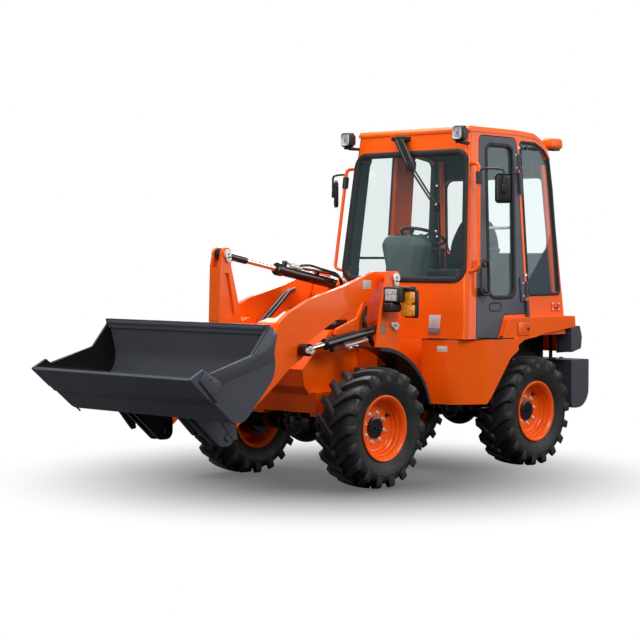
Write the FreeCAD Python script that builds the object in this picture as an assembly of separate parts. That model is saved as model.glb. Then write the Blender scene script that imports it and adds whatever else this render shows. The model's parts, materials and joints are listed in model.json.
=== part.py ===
import FreeCAD, Part
import math
import os

# A compact articulated wheel loader. All sizes in millimetres.
# Here x points to the machine's left, y to its rear, z up, with the origin on the
# ground under the articulation pin. keep() slides everything by CENTRE_Y along y, so
# that the stored origin is the middle of the machine's length.

CENTRE_Y = 494.0

# Overall layout
AXLE_Y = 889.0
WHEEL_X = 620.0
WHEEL_R = 425.0
TYRE_W = 310.0
BEAD_R = 206.0
FLANGE_R = 228.0
RIM_W = 270.0
HUB_R = 62.0
DISC_IN = 30.0

# Boom and linkage, seen from the side as (y, z)
BOOM_PIN = (-400.0, 1458.0)
BUCKET_PIN = (-2010.0, 423.0)
LIFT_FRONT = (-1280.0, 970.0)
LIFT_REAR = (-405.0, 1110.0)
TILT_REAR = (-558.0, 1404.0)
TILT_FRONT = (-1730.0, 1628.0)
CRANK_PIN = (-1548.0, 1046.0)
LINK_REAR = (-1475.0, 776.0)
CROSS_TUBE = (-1380.0, 1045.0)
LINK_FRONT = (-1907.0, 445.0)
PIN_R = 24.0
BOOM_PIN_R = 30.0
PIN_FIT = 0.5
SIDE_GAP = 6.0
ARM_IN = 280.0
ARM_OUT = 320.0
LIFT_X = 364.0
BARREL_R = 37.0
HOSE_SHARE = 0.45

# Bucket
BUCKET_HALF = 788.0
BUCKET_PLATE = 14.0
BUCKET_LIP = (-2728.0, 860.0)
BUCKET_HEEL = (-2328.0, 527.0)
BUCKET_BACK = (-1987.0, 873.0)
BUCKET_TOP = (-2066.0, 1176.0)

# Front frame
FRAME_LOW = WHEEL_R + 88.0
FRONT_HALF = 293.0
TOWER_OUT = 424.0
TOWER_REAR = -364.0
TOWER_PLATE = 20.0
AXLE_R = 70.0
STEER_PIN_R = 32.0
TIE_X = 330.0
TIE_Y = -1028.0
TIE_R = 15.0
FOOT = 24.0
FENDER_LOW = 14.0
FENDER_STEP = 6.2

# Cab: half widths and front and rear faces at the floor and under the roof
CAB_LOW = 1000.0
FLOOR_TOP = 1040.0
CAB_TOP = 2560.0
CAB_HALF_LOW = 668.0
CAB_HALF_TOP = 550.5
CAB_FRONT_LOW = 118.0
CAB_FRONT_TOP = 295.3
CAB_REAR_LOW = 1420.0
CAB_REAR_TOP = 1317.0
CAB_WALL = 42.0
CAB_CORNER = 40.0
GLASS = 6.0
GLASS_INSET = 16.0
ROOF_HALF = 557.0
ROOF_EDGE = 24.0
ROOF_LOW = 2300.0
BULKHEAD_TOP = 1290.0
STEER_WHEEL = (428.0, 1768.0)
STEER_WHEEL_R = 172.0
STEER_LEAN = 21.0
DOOR_GAP = 6.0
HINGE_Y = 884.0
HINGE_OUT = 14.0
HINGE_Z = (1358.0, 2342.0)

# Rear body
CHASSIS_HALF = 230.0
LINER_X = 404.0
WEIGHT_HALF = 640.0
WEIGHT_FRONT = 1518.0
WEIGHT_REAR = 1763.0
HITCH_R = 16.0
PANEL_X = CAB_HALF_LOW + 37.0
REAR_TRIM_IN = CAB_HALF_LOW - 93.0
HOOD_HALF = 556.0
HOOD_PIN = (1456.0, 1088.0)


def point(plane, a, b, c):
    if plane == "yz":
        return FreeCAD.Vector(c, a, b)
    if plane == "xz":
        return FreeCAD.Vector(a, c, b)
    return FreeCAD.Vector(a, b, c)


def rounded(points):
    # each corner as (start, middle or None, end) in the outline's own plane
    corners = []
    count = len(points)
    for i in range(count):
        here = points[i]
        before = points[i - 1]
        after = points[(i + 1) % count]
        radius = here[2] if len(here) > 2 else 0.0
        if radius <= 0.0:
            corners.append(((here[0], here[1]), None, (here[0], here[1])))
            continue
        ua = before[0] - here[0]
        ub = before[1] - here[1]
        ul = math.hypot(ua, ub)
        ua, ub = ua / ul, ub / ul
        va = after[0] - here[0]
        vb = after[1] - here[1]
        vl = math.hypot(va, vb)
        va, vb = va / vl, vb / vl
        half = math.acos(max(-1.0, min(1.0, ua * va + ub * vb))) / 2.0
        back = radius / math.tan(half)
        ma, mb = ua + va, ub + vb
        ml = math.hypot(ma, mb)
        out = radius / math.sin(half) - radius
        start = (here[0] + ua * back, here[1] + ub * back)
        end = (here[0] + va * back, here[1] + vb * back)
        middle = (here[0] + ma / ml * out, here[1] + mb / ml * out)
        corners.append((start, middle, end))
    return corners


def prism(points, plane, low, high):
    corners = rounded(points)
    edges = []
    for i in range(len(corners)):
        start, middle, end = corners[i]
        last = corners[i - 1][2]
        a = point(plane, last[0], last[1], low)
        b = point(plane, start[0], start[1], low)
        if a.distanceToPoint(b) > 0.001:
            edges.append(Part.makeLine(a, b))
        if middle is not None:
            m = point(plane, middle[0], middle[1], low)
            e = point(plane, end[0], end[1], low)
            edges.append(Part.Arc(b, m, e).toShape())
    face = Part.Face(Part.Wire(Part.__sortEdges__(edges)))
    along = point(plane, 0.0, 0.0, high - low)
    return face.extrude(along)


def strip(points, thickness, plane, low, high):
    # a bent plate: the polyline and its copy set off to the left of its run
    offset = []
    count = len(points)
    for i in range(count):
        normals = []
        if i > 0:
            normals.append(left_of(points[i - 1], points[i]))
        if i < count - 1:
            normals.append(left_of(points[i], points[i + 1]))
        na = sum(n[0] for n in normals)
        nb = sum(n[1] for n in normals)
        length = math.hypot(na, nb)
        na, nb = na / length, nb / length
        stretch = thickness / (na * normals[0][0] + nb * normals[0][1])
        radius = points[i][2] if len(points[i]) > 2 else 0.0
        turn = 1.0
        if len(normals) == 2:
            turn = normals[0][0] * normals[1][1] - normals[0][1] * normals[1][0]
        inner = radius - thickness if turn > 0 else radius + thickness
        if radius <= 0.0:
            inner = 0.0
        offset.append((points[i][0] + na * stretch, points[i][1] + nb * stretch, max(inner, 0.0)))
    return prism(list(points) + offset[::-1], plane, low, high)


def left_of(a, b):
    da = b[0] - a[0]
    db = b[1] - a[1]
    length = math.hypot(da, db)
    return (-db / length, da / length)


def box(x0, x1, y0, y1, z0, z1):
    return Part.makeBox(x1 - x0, y1 - y0, z1 - z0, FreeCAD.Vector(x0, y0, z0))


def disc(centre, radius, x0, x1):
    # a cylinder along x round the side-view point (y, z)
    base = FreeCAD.Vector(x0, centre[0], centre[1])
    return Part.makeCylinder(radius, x1 - x0, base, FreeCAD.Vector(1, 0, 0))


def post(x, y, radius, z0, z1):
    return Part.makeCylinder(radius, z1 - z0, FreeCAD.Vector(x, y, z0), FreeCAD.Vector(0, 0, 1))


def rod(a, b, radius):
    start = FreeCAD.Vector(*a)
    along = FreeCAD.Vector(*b) - start
    return Part.makeCylinder(radius, along.Length, start, along)


def bent_bar(points, radius, bend):
    # a round bar through the points, its bends rounded
    runs = [FreeCAD.Vector(*p) for p in points]
    edges = []
    last = runs[0]
    for i in range(1, len(runs) - 1):
        to_back = (runs[i - 1] - runs[i]).normalize()
        to_front = (runs[i + 1] - runs[i]).normalize()
        half = to_back.getAngle(to_front) / 2.0
        back = bend / math.tan(half)
        start = runs[i] + to_back * back
        end = runs[i] + to_front * back
        middle = (to_back + to_front).normalize()
        middle = runs[i] + middle * (bend / math.sin(half) - bend)
        edges.append(Part.makeLine(last, start))
        edges.append(Part.Arc(start, middle, end).toShape())
        last = end
    edges.append(Part.makeLine(last, runs[-1]))
    path = Part.Wire(edges)
    circle = Part.makeCircle(radius, runs[0], runs[1] - runs[0])
    return path.makePipeShell([Part.Wire([circle])], True, False)


def join(shapes):
    first = shapes[0]
    return first.fuse(list(shapes[1:])).removeSplitter() if len(shapes) > 1 else first


def mirror(shape):
    return shape.mirror(FreeCAD.Vector(0, 0, 0), FreeCAD.Vector(1, 0, 0))


def keep(name, shape):
    moved = shape.copy()
    moved.translate(FreeCAD.Vector(0, CENTRE_Y, 0))
    if moved.ShapeType != "Solid" and len(moved.Solids) == 1:
        moved = moved.Solids[0]
    print(name, len(moved.Solids), moved.isValid(), round(moved.Volume / 1e6, 2))
    moved.exportStep("parts/" + name + ".step")


def keep_pair(name, shape):
    keep(name + "_left", shape)
    keep(name + "_right", mirror(shape))


# ---- wheels -------------------------------------------------------------------

def spin(profile, y):
    # turn a profile of (x, r) corners round the axle line at y
    plane = [FreeCAD.Vector(x, y, WHEEL_R + r) for x, r in profile]
    face = Part.Face(Part.makePolygon(plane + plane[:1]))
    return face.revolve(FreeCAD.Vector(0, y, WHEEL_R), FreeCAD.Vector(1, 0, 0), 360)


def tyre(y):
    w = TYRE_W / 2.0
    half = [(114, BEAD_R), (122, 232), (w - 12, 256), (w, 318), (w - 4, 366), (w - 20, 400), (w - 42, 417)]
    outline = [(WHEEL_X + x, r) for x, r in half] + [(WHEEL_X, WHEEL_R)]
    outline += [(WHEEL_X - x, r) for x, r in half[::-1]]
    return spin(outline, y)


def rim(y):
    w = RIM_W / 2.0
    c = WHEEL_X
    barrel = [
        (c + w, FLANGE_R), (c + w - 12, FLANGE_R), (c + w - 16, BEAD_R), (c - w + 16, BEAD_R),
        (c - w + 12, FLANGE_R), (c - w, FLANGE_R), (c - w + 4, BEAD_R - 12), (c - DISC_IN, BEAD_R - 12),
        (c - DISC_IN, HUB_R), (c - DISC_IN + 14, HUB_R), (c - DISC_IN + 14, 158), (c + 4, BEAD_R - 24),
        (c + 44, BEAD_R - 24), (c + 58, BEAD_R - 12), (c + w - 4, BEAD_R - 12),
    ]
    return spin(barrel, y)


def axle(y):
    c = (y, WHEEL_R)
    parts = [disc(c, AXLE_R, -500, 500)]
    bulge = Part.makeSphere(150, FreeCAD.Vector(0, y, WHEEL_R))
    parts.append(bulge.cut(box(-200, 200, y - 200, y + 200, FRAME_LOW, 700)))
    for side in (-1, 1):
        a, b = sorted((side * 440, side * 470))
        parts.append(disc(c, 112, a, b))
        a, b = sorted((side * 470, side * (WHEEL_X - DISC_IN - 8)))
        parts.append(disc(c, 128, a, b))
        a, b = sorted((side * 500, side * (WHEEL_X - DISC_IN + 20)))
        parts.append(disc(c, HUB_R - PIN_FIT, a, b))
        parts.append(box(side * 200 - 50, side * 200 + 50, y - 60, y + 60, WHEEL_R, FRAME_LOW))
    return join(parts)


def wheels():
    for y, end in ((-AXLE_Y, "front"), (AXLE_Y, "rear")):
        keep_pair("tyre_" + end, tyre(y))
        keep_pair("rim_" + end, rim(y))


# ---- bucket and linkage ---------------------------------------------------------

def bucket():
    # lip to heel to back to top, the plate laid on the inner side
    run = [BUCKET_TOP, BUCKET_BACK + (190.0,), BUCKET_HEEL + (120.0,), BUCKET_LIP]
    wall = strip(run[::-1], BUCKET_PLATE, "yz", -BUCKET_HALF, BUCKET_HALF)
    side = [(-2069, 1173), (-2024, 965), (-1991, 868, 150), (-2328, 531, 110), (-2540, 707),
            (-2714, 852), (-2700, 870), (-2576, 894), (-2224, 992, 30)]
    parts = [wall]
    for x in (-BUCKET_HALF, BUCKET_HALF - 16):
        parts.append(prism(side, "yz", x, x + 16))
    # box edge along the top and the thick cutting edge along the lip
    guard = [(-2098, 1180), (-2058, 1180), (-2048, 1130), (-2086, 1118)]
    parts.append(prism(guard, "yz", -BUCKET_HALF, BUCKET_HALF))
    lip = [(-2743, 859), (-2727, 874), (-2580, 752), (-2594, 734)]
    parts.append(prism(lip, "yz", -BUCKET_HALF, BUCKET_HALF))
    cutter = [(-2743, 866), (-2632, 922), (-2477, 801), (-2540, 707), (-2588, 742)]
    for x in (-BUCKET_HALF, BUCKET_HALF - 22):
        parts.append(prism(cutter, "yz", x, x + 22))
    # hinge ears each side of both arms, link ears in the middle
    ear = [(-2297, 563), (-2075, 789), (-1952, 500), (-1952, 365, 57), (-2068, 365, 57)]
    for side_x in (-1, 1):
        for x in (ARM_IN - SIDE_GAP - 20, ARM_OUT + SIDE_GAP):
            a, b = sorted((side_x * x, side_x * (x + 20)))
            parts.append(prism(ear, "yz", a, b))
        a, b = sorted((side_x * (ARM_IN - 40), side_x * (ARM_OUT + 40)))
        parts.append(disc(BUCKET_PIN, PIN_R, a, b))
    link_ear = [(-2215, 647), (-2050, 814), (-1861, 540), (-1861, 399, 45), (-1953, 399, 45)]
    for side_x in (-1, 1):
        a, b = sorted((side_x * 36, side_x * 56))
        parts.append(prism(link_ear, "yz", a, b))
        a, b = sorted((side_x * 52, side_x * 64))
        parts.append(disc(LINK_FRONT, 34, a, b))
        hook = [(-2262, 601), (-2225, 638), (-2087, 505), (-2075, 430), (-2110, 425), (-2150, 470)]
        a, b = sorted((side_x * 492, side_x * 508))
        parts.append(prism(hook, "yz", a, b))
    return join(parts)


def boom():
    lower = [(-2045, 375), (-1521, 747, 60), (-1403, 837), (-1257, 917, 60), (-1194, 1026, 60),
             (-1030, 1112), (-814, 1216), (-592, 1296, 60), (-480, 1384, 40), (-326, 1384, 56)]
    upper = [(-326, 1502, 56), (-512, 1502, 60), (-640, 1464), (-825, 1404), (-1180, 1318), (-1410, 1222),
             (-1495, 1160, 60), (-1590, 960, 120), (-2057, 458)]
    plate = lower + upper
    parts = []
    for side in (-1, 1):
        a, b = sorted((side * ARM_IN, side * ARM_OUT))
        parts.append(prism(plate, "yz", a, b))
        parts.append(disc(BUCKET_PIN, 60, a, b))
    parts.append(disc(CROSS_TUBE, 58, -ARM_IN - 5, ARM_IN + 5))
    lug = [(-1606, 988, 58), (-1400, 960, 40), (-1310, 1010, 40), (-1320, 1100, 40), (-1606, 1104, 58)]
    block = [(-1500, 1150, 50), (-1330, 1196, 40), (-1290, 1000, 40), (-1470, 960, 40)]
    for side in (-1, 1):
        a, b = sorted((side * 60, side * 86))
        parts.append(prism(lug, "yz", a, b))
        a, b = sorted((side * 84, side * (ARM_IN + 2)))
        parts.append(prism(block, "yz", a, b))
    for route in (HOSE_OUTER, HOSE_INNER):
        start = FreeCAD.Vector(*route[0])
        along = (FreeCAD.Vector(*route[1]) - start).normalize()
        parts.append(rod(route[0], start + along * 22, HOSE_R + 7))
    whole = join(parts)
    holes = [disc(BOOM_PIN, BOOM_PIN_R + PIN_FIT, -400, 400)]
    holes.append(disc(BUCKET_PIN, PIN_R + PIN_FIT, -400, 400))
    holes.append(disc(CRANK_PIN, PIN_R + PIN_FIT, -100, 100))
    return whole.cut(holes)


# hose routes from a gland on the right arm to the cross casting, as (x, y, z)
HOSE_R = 12.0
HOSE_OUTER = [(-284, -775, 1352), (-225, -830, 1362), (-160, -945, 1348), (-141, -1095, 1244),
              (-140, -1215, 1150), (-140, -1318, 1084)]
HOSE_INNER = [(-284, -722, 1364), (-215, -790, 1374), (-130, -930, 1360), (-101, -1080, 1254),
              (-100, -1210, 1154), (-100, -1318, 1084)]


def hose(points):
    # a round hose along straight runs, each bend an arc as large as its shorter run allows
    runs = [FreeCAD.Vector(*p) for p in points]
    edges = []
    last = runs[0]
    radii = []
    for i in range(1, len(runs) - 1):
        back_run = runs[i - 1] - runs[i]
        front_run = runs[i + 1] - runs[i]
        reach = HOSE_SHARE * min(back_run.Length, front_run.Length)
        half = back_run.getAngle(front_run) / 2.0
        radius = reach * math.tan(half)
        radii.append(round(radius))
        back_run.normalize()
        front_run.normalize()
        start = runs[i] + back_run * reach
        end = runs[i] + front_run * reach
        middle = runs[i] + (back_run + front_run).normalize() * (radius / math.sin(half) - radius)
        edges.append(Part.makeLine(last, start))
        edges.append(Part.Arc(start, middle, end).toShape())
        last = end
    edges.append(Part.makeLine(last, runs[-1]))
    path = Part.Wire(edges)
    circle = Part.makeCircle(HOSE_R, runs[0], runs[1] - runs[0])
    print("hose length", round(path.Length), "bend radii", radii)
    return path.makePipeShell([Part.Wire([circle])], True, False)


def boom_hoses(arms):
    for name, route in (("boom_hose_outer", HOSE_OUTER), ("boom_hose_inner", HOSE_INNER)):
        keep(name, hose(route).cut(arms))


def bellcrank():
    body = [
        (-1686, 1628), (-1774, 1628), (-1792, 1549), (-1804, 1173, 40), (-1730, 1030, 60),
        (-1615, 930, 60), (-1525, 776), (-1425, 776), (-1445, 980, 30), (-1484, 1060, 40),
        (-1597, 1186), (-1621, 1303), (-1689, 1549),
    ]
    whole = prism(body, "yz", -52, 52)
    whole = join([whole, disc(TILT_FRONT, 46, -52, 52), disc(LINK_REAR, 50, -52, 52)])
    clevis = [(-1816, 1540), (-1764, 1540, 10), (-1764, 1410, 30), (-1600, 1320), (-1646, 1700), (-1816, 1700)]
    whole = whole.cut(prism(clevis, "yz", -28, 28))
    whole = whole.cut(box(-36, 36, -1640, -1380, 690, 850))
    for side in (-1, 1):
        whole = whole.cut(flank(side))
    pin = disc(CRANK_PIN, PIN_R, -96, 96)
    knee = disc(LINK_REAR, PIN_R, -60, 60)
    caps = [disc(TILT_FRONT, 30, 52, 62), disc(TILT_FRONT, 30, -62, -52)]
    return join([whole, pin, knee] + caps)


def flank(side):
    # the casting's sides are hollowed between its edge ribs
    hollow = [(-1756, 1500, 8), (-1768, 1200, 20), (-1652, 1200, 20), (-1712, 1500, 8)]
    a, b = sorted((side * 36, side * 60))
    return prism(hollow, "yz", a, b)


def tilt_link():
    dy = LINK_REAR[0] - LINK_FRONT[0]
    dz = LINK_REAR[1] - LINK_FRONT[1]
    length = math.hypot(dy, dz)
    ny, nz = -dz / length * 32, dy / length * 32
    bar = [(LINK_FRONT[0] + ny, LINK_FRONT[1] + nz), (LINK_FRONT[0] - ny, LINK_FRONT[1] - nz),
           (LINK_REAR[0] - ny, LINK_REAR[1] - nz), (LINK_REAR[0] + ny, LINK_REAR[1] + nz)]
    whole = join([prism(bar, "yz", -22, 22), disc(LINK_FRONT, 44, -30, 30), disc(LINK_REAR, 44, -30, 30)])
    return whole.cut(disc(LINK_REAR, PIN_R + PIN_FIT, -40, 40))


def cylinder(x, rear, front, split, tail, bore_r, rod_r, eye_half, gland_r, gland_l, ext=0.0):
    # barrel and rod of one ram; split and tail are how far the gland's face and the rod's
    # inner end lie from the rear pin
    dy = front[0] - rear[0]
    dz = front[1] - rear[1]
    length = math.hypot(dy, dz)
    uy, uz = dy / length, dz / length

    def at(distance):
        return (x, rear[0] + uy * distance, rear[1] + uz * distance)

    barrel = [rod(at(0), at(66), eye_half - 2), rod(at(62), at(split), bore_r)]
    barrel.append(rod(at(split - gland_l), at(split), gland_r))
    barrel.append(disc(rear, 44, x - eye_half, x + eye_half))
    barrel = join(barrel)
    bore = rod(at(90), at(split + 1), rod_r + PIN_FIT)
    barrel = barrel.cut([bore, disc(rear, PIN_R + PIN_FIT, x - 60, x + 60)])
    ram = [rod(at(tail), at(length), rod_r), disc(front, 44, x - eye_half, x + eye_half)]
    if ext:
        ram.append(rod(at(length - ext), at(length), rod_r + 7))
    return barrel, join(ram)


def lift_cylinders():
    barrel, ram = cylinder(LIFT_X, LIFT_REAR, LIFT_FRONT, 690, 150, BARREL_R, 20, 34, 42, 60)
    keep_pair("lift_barrel", barrel)
    ram = join([ram, disc(LIFT_FRONT, 28, LIFT_X + 34, LIFT_X + 46)])
    keep_pair("lift_rod", ram)


def tilt_cylinder():
    barrel, ram = cylinder(0.0, TILT_REAR, TILT_FRONT, 649, 410, 38, 18, 23, 46, 46, 234)
    keep("tilt_barrel", barrel)
    keep("tilt_rod", ram)


# ---- front frame ------------------------------------------------------------------

def front_frame():
    core = [(-1100, FRAME_LOW), (-1100, 640), (-1160, 700, 20), (-1177, 822), (-1165, 835), (-890, 1090, 40),
            (-700, 1090), (TOWER_REAR, 940), (TOWER_REAR, FRAME_LOW)]
    parts = [prism(core, "yz", -236, 236)]
    parts.append(box(-FRONT_HALF, FRONT_HALF, -1100, TOWER_REAR, FRAME_LOW, 660))
    parts.append(box(-TOWER_OUT, TOWER_OUT, -600, TOWER_REAR, 560, 946))
    outer = [(-610, 930), (-616, 946), (-490, 1507, 12), (TOWER_REAR, 1507, 12), (TOWER_REAR, 930)]
    inner = [(-610, 930), (-616, 946), (-510, 1497, 60), (TOWER_REAR, 1497, 40), (TOWER_REAR, 930)]
    for side in (-1, 1):
        a, b = sorted((side * (TOWER_OUT - TOWER_PLATE), side * TOWER_OUT))
        parts.append(prism(outer, "yz", a, b))
        a, b = sorted((side * 246, side * 272))
        parts.append(prism(inner, "yz", a, b))
        a, b = sorted((side * 240, side * (TOWER_OUT + 8)))
        parts.append(disc(BOOM_PIN, BOOM_PIN_R, a, b))
        a, b = sorted((side * (LIFT_X - 50), side * (TOWER_OUT + 8)))
        parts.append(disc(LIFT_REAR, PIN_R, a, b))
        a, b = sorted((side * 270, side * 316))
        parts.append(disc(LIFT_REAR, 50, a, b))
        a, b = sorted((side * 230, side * (TIE_X + 30)))
        parts.append(box(a, b, -1096, -960, FRAME_LOW - FOOT, FRAME_LOW + 1))
    parts.append(box(-247, 247, -560, -400, 1240, 1300))
    ear = [(-610, 1290), (-610, 1404, 40), (-575, 1452, 30), (-520, 1452, 30), (-470, 1290)]
    for side in (-1, 1):
        a, b = sorted((side * 30, side * 50))
        parts.append(prism(ear, "yz", a, b))
    parts.append(disc(TILT_REAR, PIN_R, -60, 60))
    # tongue that sits between the rear frame's lugs at the steering pin
    tongue = [(-150, TOWER_REAR), (-75, -60, 40), (-75, 76, 74), (75, 76, 74), (75, -60, 40), (150, TOWER_REAR)]
    parts.append(prism(tongue, "xy", 585, 655))
    holes = [post(0, 0, STEER_PIN_R + PIN_FIT, 500, 700)]
    for x in (-TIE_X, TIE_X):
        holes.append(post(x, TIE_Y, TIE_R, FRAME_LOW - FOOT - 10, FRAME_LOW + 10))
    return join(parts).cut(holes)


def front_fender():
    wheel = (-AXLE_Y, WHEEL_R)
    outer = []
    inner = []
    for step in range(13):
        angle = math.radians(FENDER_LOW + step * FENDER_STEP)
        outer.append((wheel[0] + 580 * math.cos(angle), wheel[1] + 560 * math.sin(angle)))
        inner.append((wheel[0] + 568 * math.cos(angle), wheel[1] + 548 * math.sin(angle)))
    shell = prism(outer + inner[::-1], "yz", TOWER_OUT + 6, 700)
    skirt = prism(outer + lower_rim(wheel), "yz", 690, 700)
    arm = box(TOWER_OUT, TOWER_OUT + 76, -600, -480, WHEEL_R + 365, WHEEL_R + 405)
    return join([shell, skirt, arm])


def lower_rim(wheel):
    points = []
    for step in range(13):
        angle = math.radians(FENDER_LOW + step * FENDER_STEP)
        points.append((wheel[0] + 556 * math.cos(angle), wheel[1] + 534 * math.sin(angle)))
    return points[::-1]


def headlight():
    x = TOWER_OUT
    lamp = box(x + 8, x + 118, -545, -470, 1290, 1400)
    arm = box(x, x + 76, -471, -400, 1325, 1365)
    boot = prism([(-560, 1220, 10), (-460, 1220, 10), (-460, 1292), (-540, 1292)], "yz", x + 16, x + 106)
    turn = box(x + 109, x + 166, -430, -360, 1232, 1372)
    stay = box(x + 36, x + 136, -450, -390, 1362, 1392)
    return join([lamp.makeFillet(14, lamp.Edges), arm, boot, turn.makeFillet(10, turn.Edges), stay])


# ---- rear frame ---------------------------------------------------------------------

def rear_chassis():
    parts = [box(-CHASSIS_HALF, CHASSIS_HALF, 140, WEIGHT_FRONT, FRAME_LOW, 720)]
    lug = [(-190, 141), (-76, 0), (-76, -76, 75), (76, -76, 75), (76, 0), (190, 141)]
    parts.append(prism(lug, "xy", 661, 700))
    parts.append(prism(lug, "xy", 540, 579))
    parts.append(post(0, 0, STEER_PIN_R, 530, 712))
    # liners inside and above the rear wheels
    for side in (-1, 1):
        a, b = sorted((side * LINER_X, side * (LINER_X + 8)))
        parts.append(box(a, b, 400, 1450, 560, CAB_LOW - 6))
        a, b = sorted((side * LINER_X, side * 566))
        parts.append(box(a, b, 430, 1440, CAB_LOW - 12, CAB_LOW - 6))
    # the wall under the cab's front, the cab's mounts, and side rails that carry the lower panels
    parts.append(box(-300, 300, CAB_FRONT_LOW, CAB_FRONT_LOW + 23, 640, CAB_LOW - 1))
    for x in (-190, 190):
        for y in (240, 900):
            parts.append(post(x, y, 42, 719, CAB_LOW))
    for side in (-1, 1):
        a, b = sorted((side * 220, side * 560))
        parts.append(box(a, b, 240, 420, FRAME_LOW + 27, FRAME_LOW + 87))
        # uprights beside the engine that carry the hood's hinge pins
        a, b = sorted((side * 220, side * 482))
        parts.append(box(a, b, 1446, 1500, 600, 640))
        a, b = sorted((side * 470, side * 482))
        parts.append(box(a, b, 1446, 1480, 600, 1098))
        a, b = sorted((side * 476, side * 504))
        parts.append(disc(HOOD_PIN, 8, a, b))
    return join(parts)


def engine():
    return box(-215, 215, 980, 1480, 720, 990)


def counterweight():
    shape = [(WEIGHT_FRONT, 783), (WEIGHT_FRONT, 420, 20), (1560, 398, 30), (WEIGHT_REAR, 398, 150),
             (WEIGHT_REAR, 783, 12)]
    block = prism(shape, "yz", -WEIGHT_HALF, WEIGHT_HALF)
    # notch for a drawbar, open above, with two pierced plates across it
    block = block.cut(box(-90, 90, WEIGHT_REAR - 120, WEIGHT_REAR + 5, 430, 800))
    plates = [box(-92, 92, WEIGHT_REAR - 122, WEIGHT_REAR, z, z + 20) for z in (455, 555)]
    return join([block] + plates).cut(post(0, WEIGHT_REAR - 55, HITCH_R, 440, 590))


def side_panel():
    plan = [(300, 60), (560, 100, 160), (PANEL_X, 330, 200), (PANEL_X, 700)]
    wall = strip(plan[::-1], 14, "xy", FRAME_LOW, 992)
    side = [(20, FRAME_LOW), (322, FRAME_LOW), (360, FRAME_LOW + 47), (600, WHEEL_R + 420, 120), (700, 900), (700, 1100), (20, 1100)]
    wall = wall.common(prism(side, "yz", 200, 800))
    tab = box(560, PANEL_X - 10, 300, 340, FRAME_LOW + 32, FRAME_LOW + 82)
    return join([wall, tab])


FENDER_SIDE = [
    (524, CAB_LOW - 6), (588, 1130), (622, 1148, 30), (1472, 1141, 20), (1480, 1054), (1060, 1012),
    (940, 990, 60), (800, 975), (700, 930), (640, 994),
]


def rear_fender():
    whole = prism(FENDER_SIDE, "yz", REAR_TRIM_IN, PANEL_X)
    inside = [(460, 900), (602, 1118), (634, 1134), (1459, 1127), (1550, 1040), (1550, 800), (460, 800)]
    whole = whole.cut(prism(inside, "yz", 500, PANEL_X - 14))
    return whole.cut([frustum(0.0), box(500, 640, 400, 1420, 900, CAB_LOW)])


def rear_lamp():
    side = [(1425, 1060), (1545, 1060, 12), (1577, 972, 14), (1565, 879, 14), (1430, 850, 10)]
    return prism(side, "yz", REAR_TRIM_IN, PANEL_X - 5).cut(prism(FENDER_SIDE, "yz", 500, 900))


# ---- cab ---------------------------------------------------------------------------

def cab_section(inset, z):
    # corners of the cab's outline at height z, its walls moved inwards by inset
    share = (z - CAB_LOW) / (CAB_TOP - CAB_LOW)
    half = CAB_HALF_LOW + (CAB_HALF_TOP - CAB_HALF_LOW) * share - inset
    front = CAB_FRONT_LOW + (CAB_FRONT_TOP - CAB_FRONT_LOW) * share + inset
    rear = CAB_REAR_LOW + (CAB_REAR_TOP - CAB_REAR_LOW) * share - inset
    corners = [(-half, front), (half, front), (half, rear), (-half, rear)]
    return [FreeCAD.Vector(x, y, z) for x, y in corners]


def frustum(inset, low=CAB_LOW, high=CAB_TOP, corner=0.0):
    # the leaning four-sided block that the cab's walls follow, its four upright edges rounded
    floor = cab_section(inset, low)
    ceiling = cab_section(inset, high)
    under = floor[::-1]
    faces = [Part.Face(Part.makePolygon(under + under[:1])), Part.Face(Part.makePolygon(ceiling + ceiling[:1]))]
    for i in range(4):
        j = (i + 1) % 4
        side = [floor[i], floor[j], ceiling[j], ceiling[i], floor[i]]
        faces.append(Part.Face(Part.makePolygon(side)))
    block = Part.Solid(Part.Shell(faces))
    if corner <= 0.0:
        return block
    upright = [edge for edge in block.Edges if abs(edge.Vertexes[0].Z - edge.Vertexes[1].Z) > 1.0]
    return block.makeFillet(corner, upright)


def cab_shell(thickness, inset=0.0):
    # the walls only, open above and below
    outside = frustum(inset, corner=max(CAB_CORNER - inset, 0.0))
    return outside.cut(frustum(inset + thickness, CAB_LOW - 50.0, CAB_TOP + 50.0))


# outlines seen from the side as (y, z, corner radius)
ROOF_UNDERSIDE = [(200, 2545), (430, 2548, 400), (920, 2545, 400), (1130, 2531, 150), (1244, 2478, 120),
                  (1310, 2390), (1500, 2190)]
UNDER_ROOF = ROOF_UNDERSIDE + [(1500, 900), (0, 900), (0, 2545)]
DOOR = [(240, 1008, 10), (504, 1000, 10), (600, 1174, 30), (876, 1174, 10), (874, 2520, 40), (416, 2523, 40)]
DOOR_WINDOW = [(420, 1300, 70), (744, 1300, 70), (832, 2460, 70), (489, 2462, 70)]
REAR_SIDE_WINDOW = [(925, 1318, 30), (1335, 1318, 30), (1310, 2141, 300), (1290, 2366, 60), (1228, 2444, 60),
                    (1120, 2490, 60), (925, 2494, 30)]
RIGHT_FRONT_WINDOW = [(330, 1345, 50), (735, 1345, 50), (735, 2450, 50), (430, 2455, 50)]
RIGHT_REAR_WINDOW = [(955, 1345, 50), (1271, 1345, 50), (1232, 2396, 80), (955, 2440, 50)]


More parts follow.
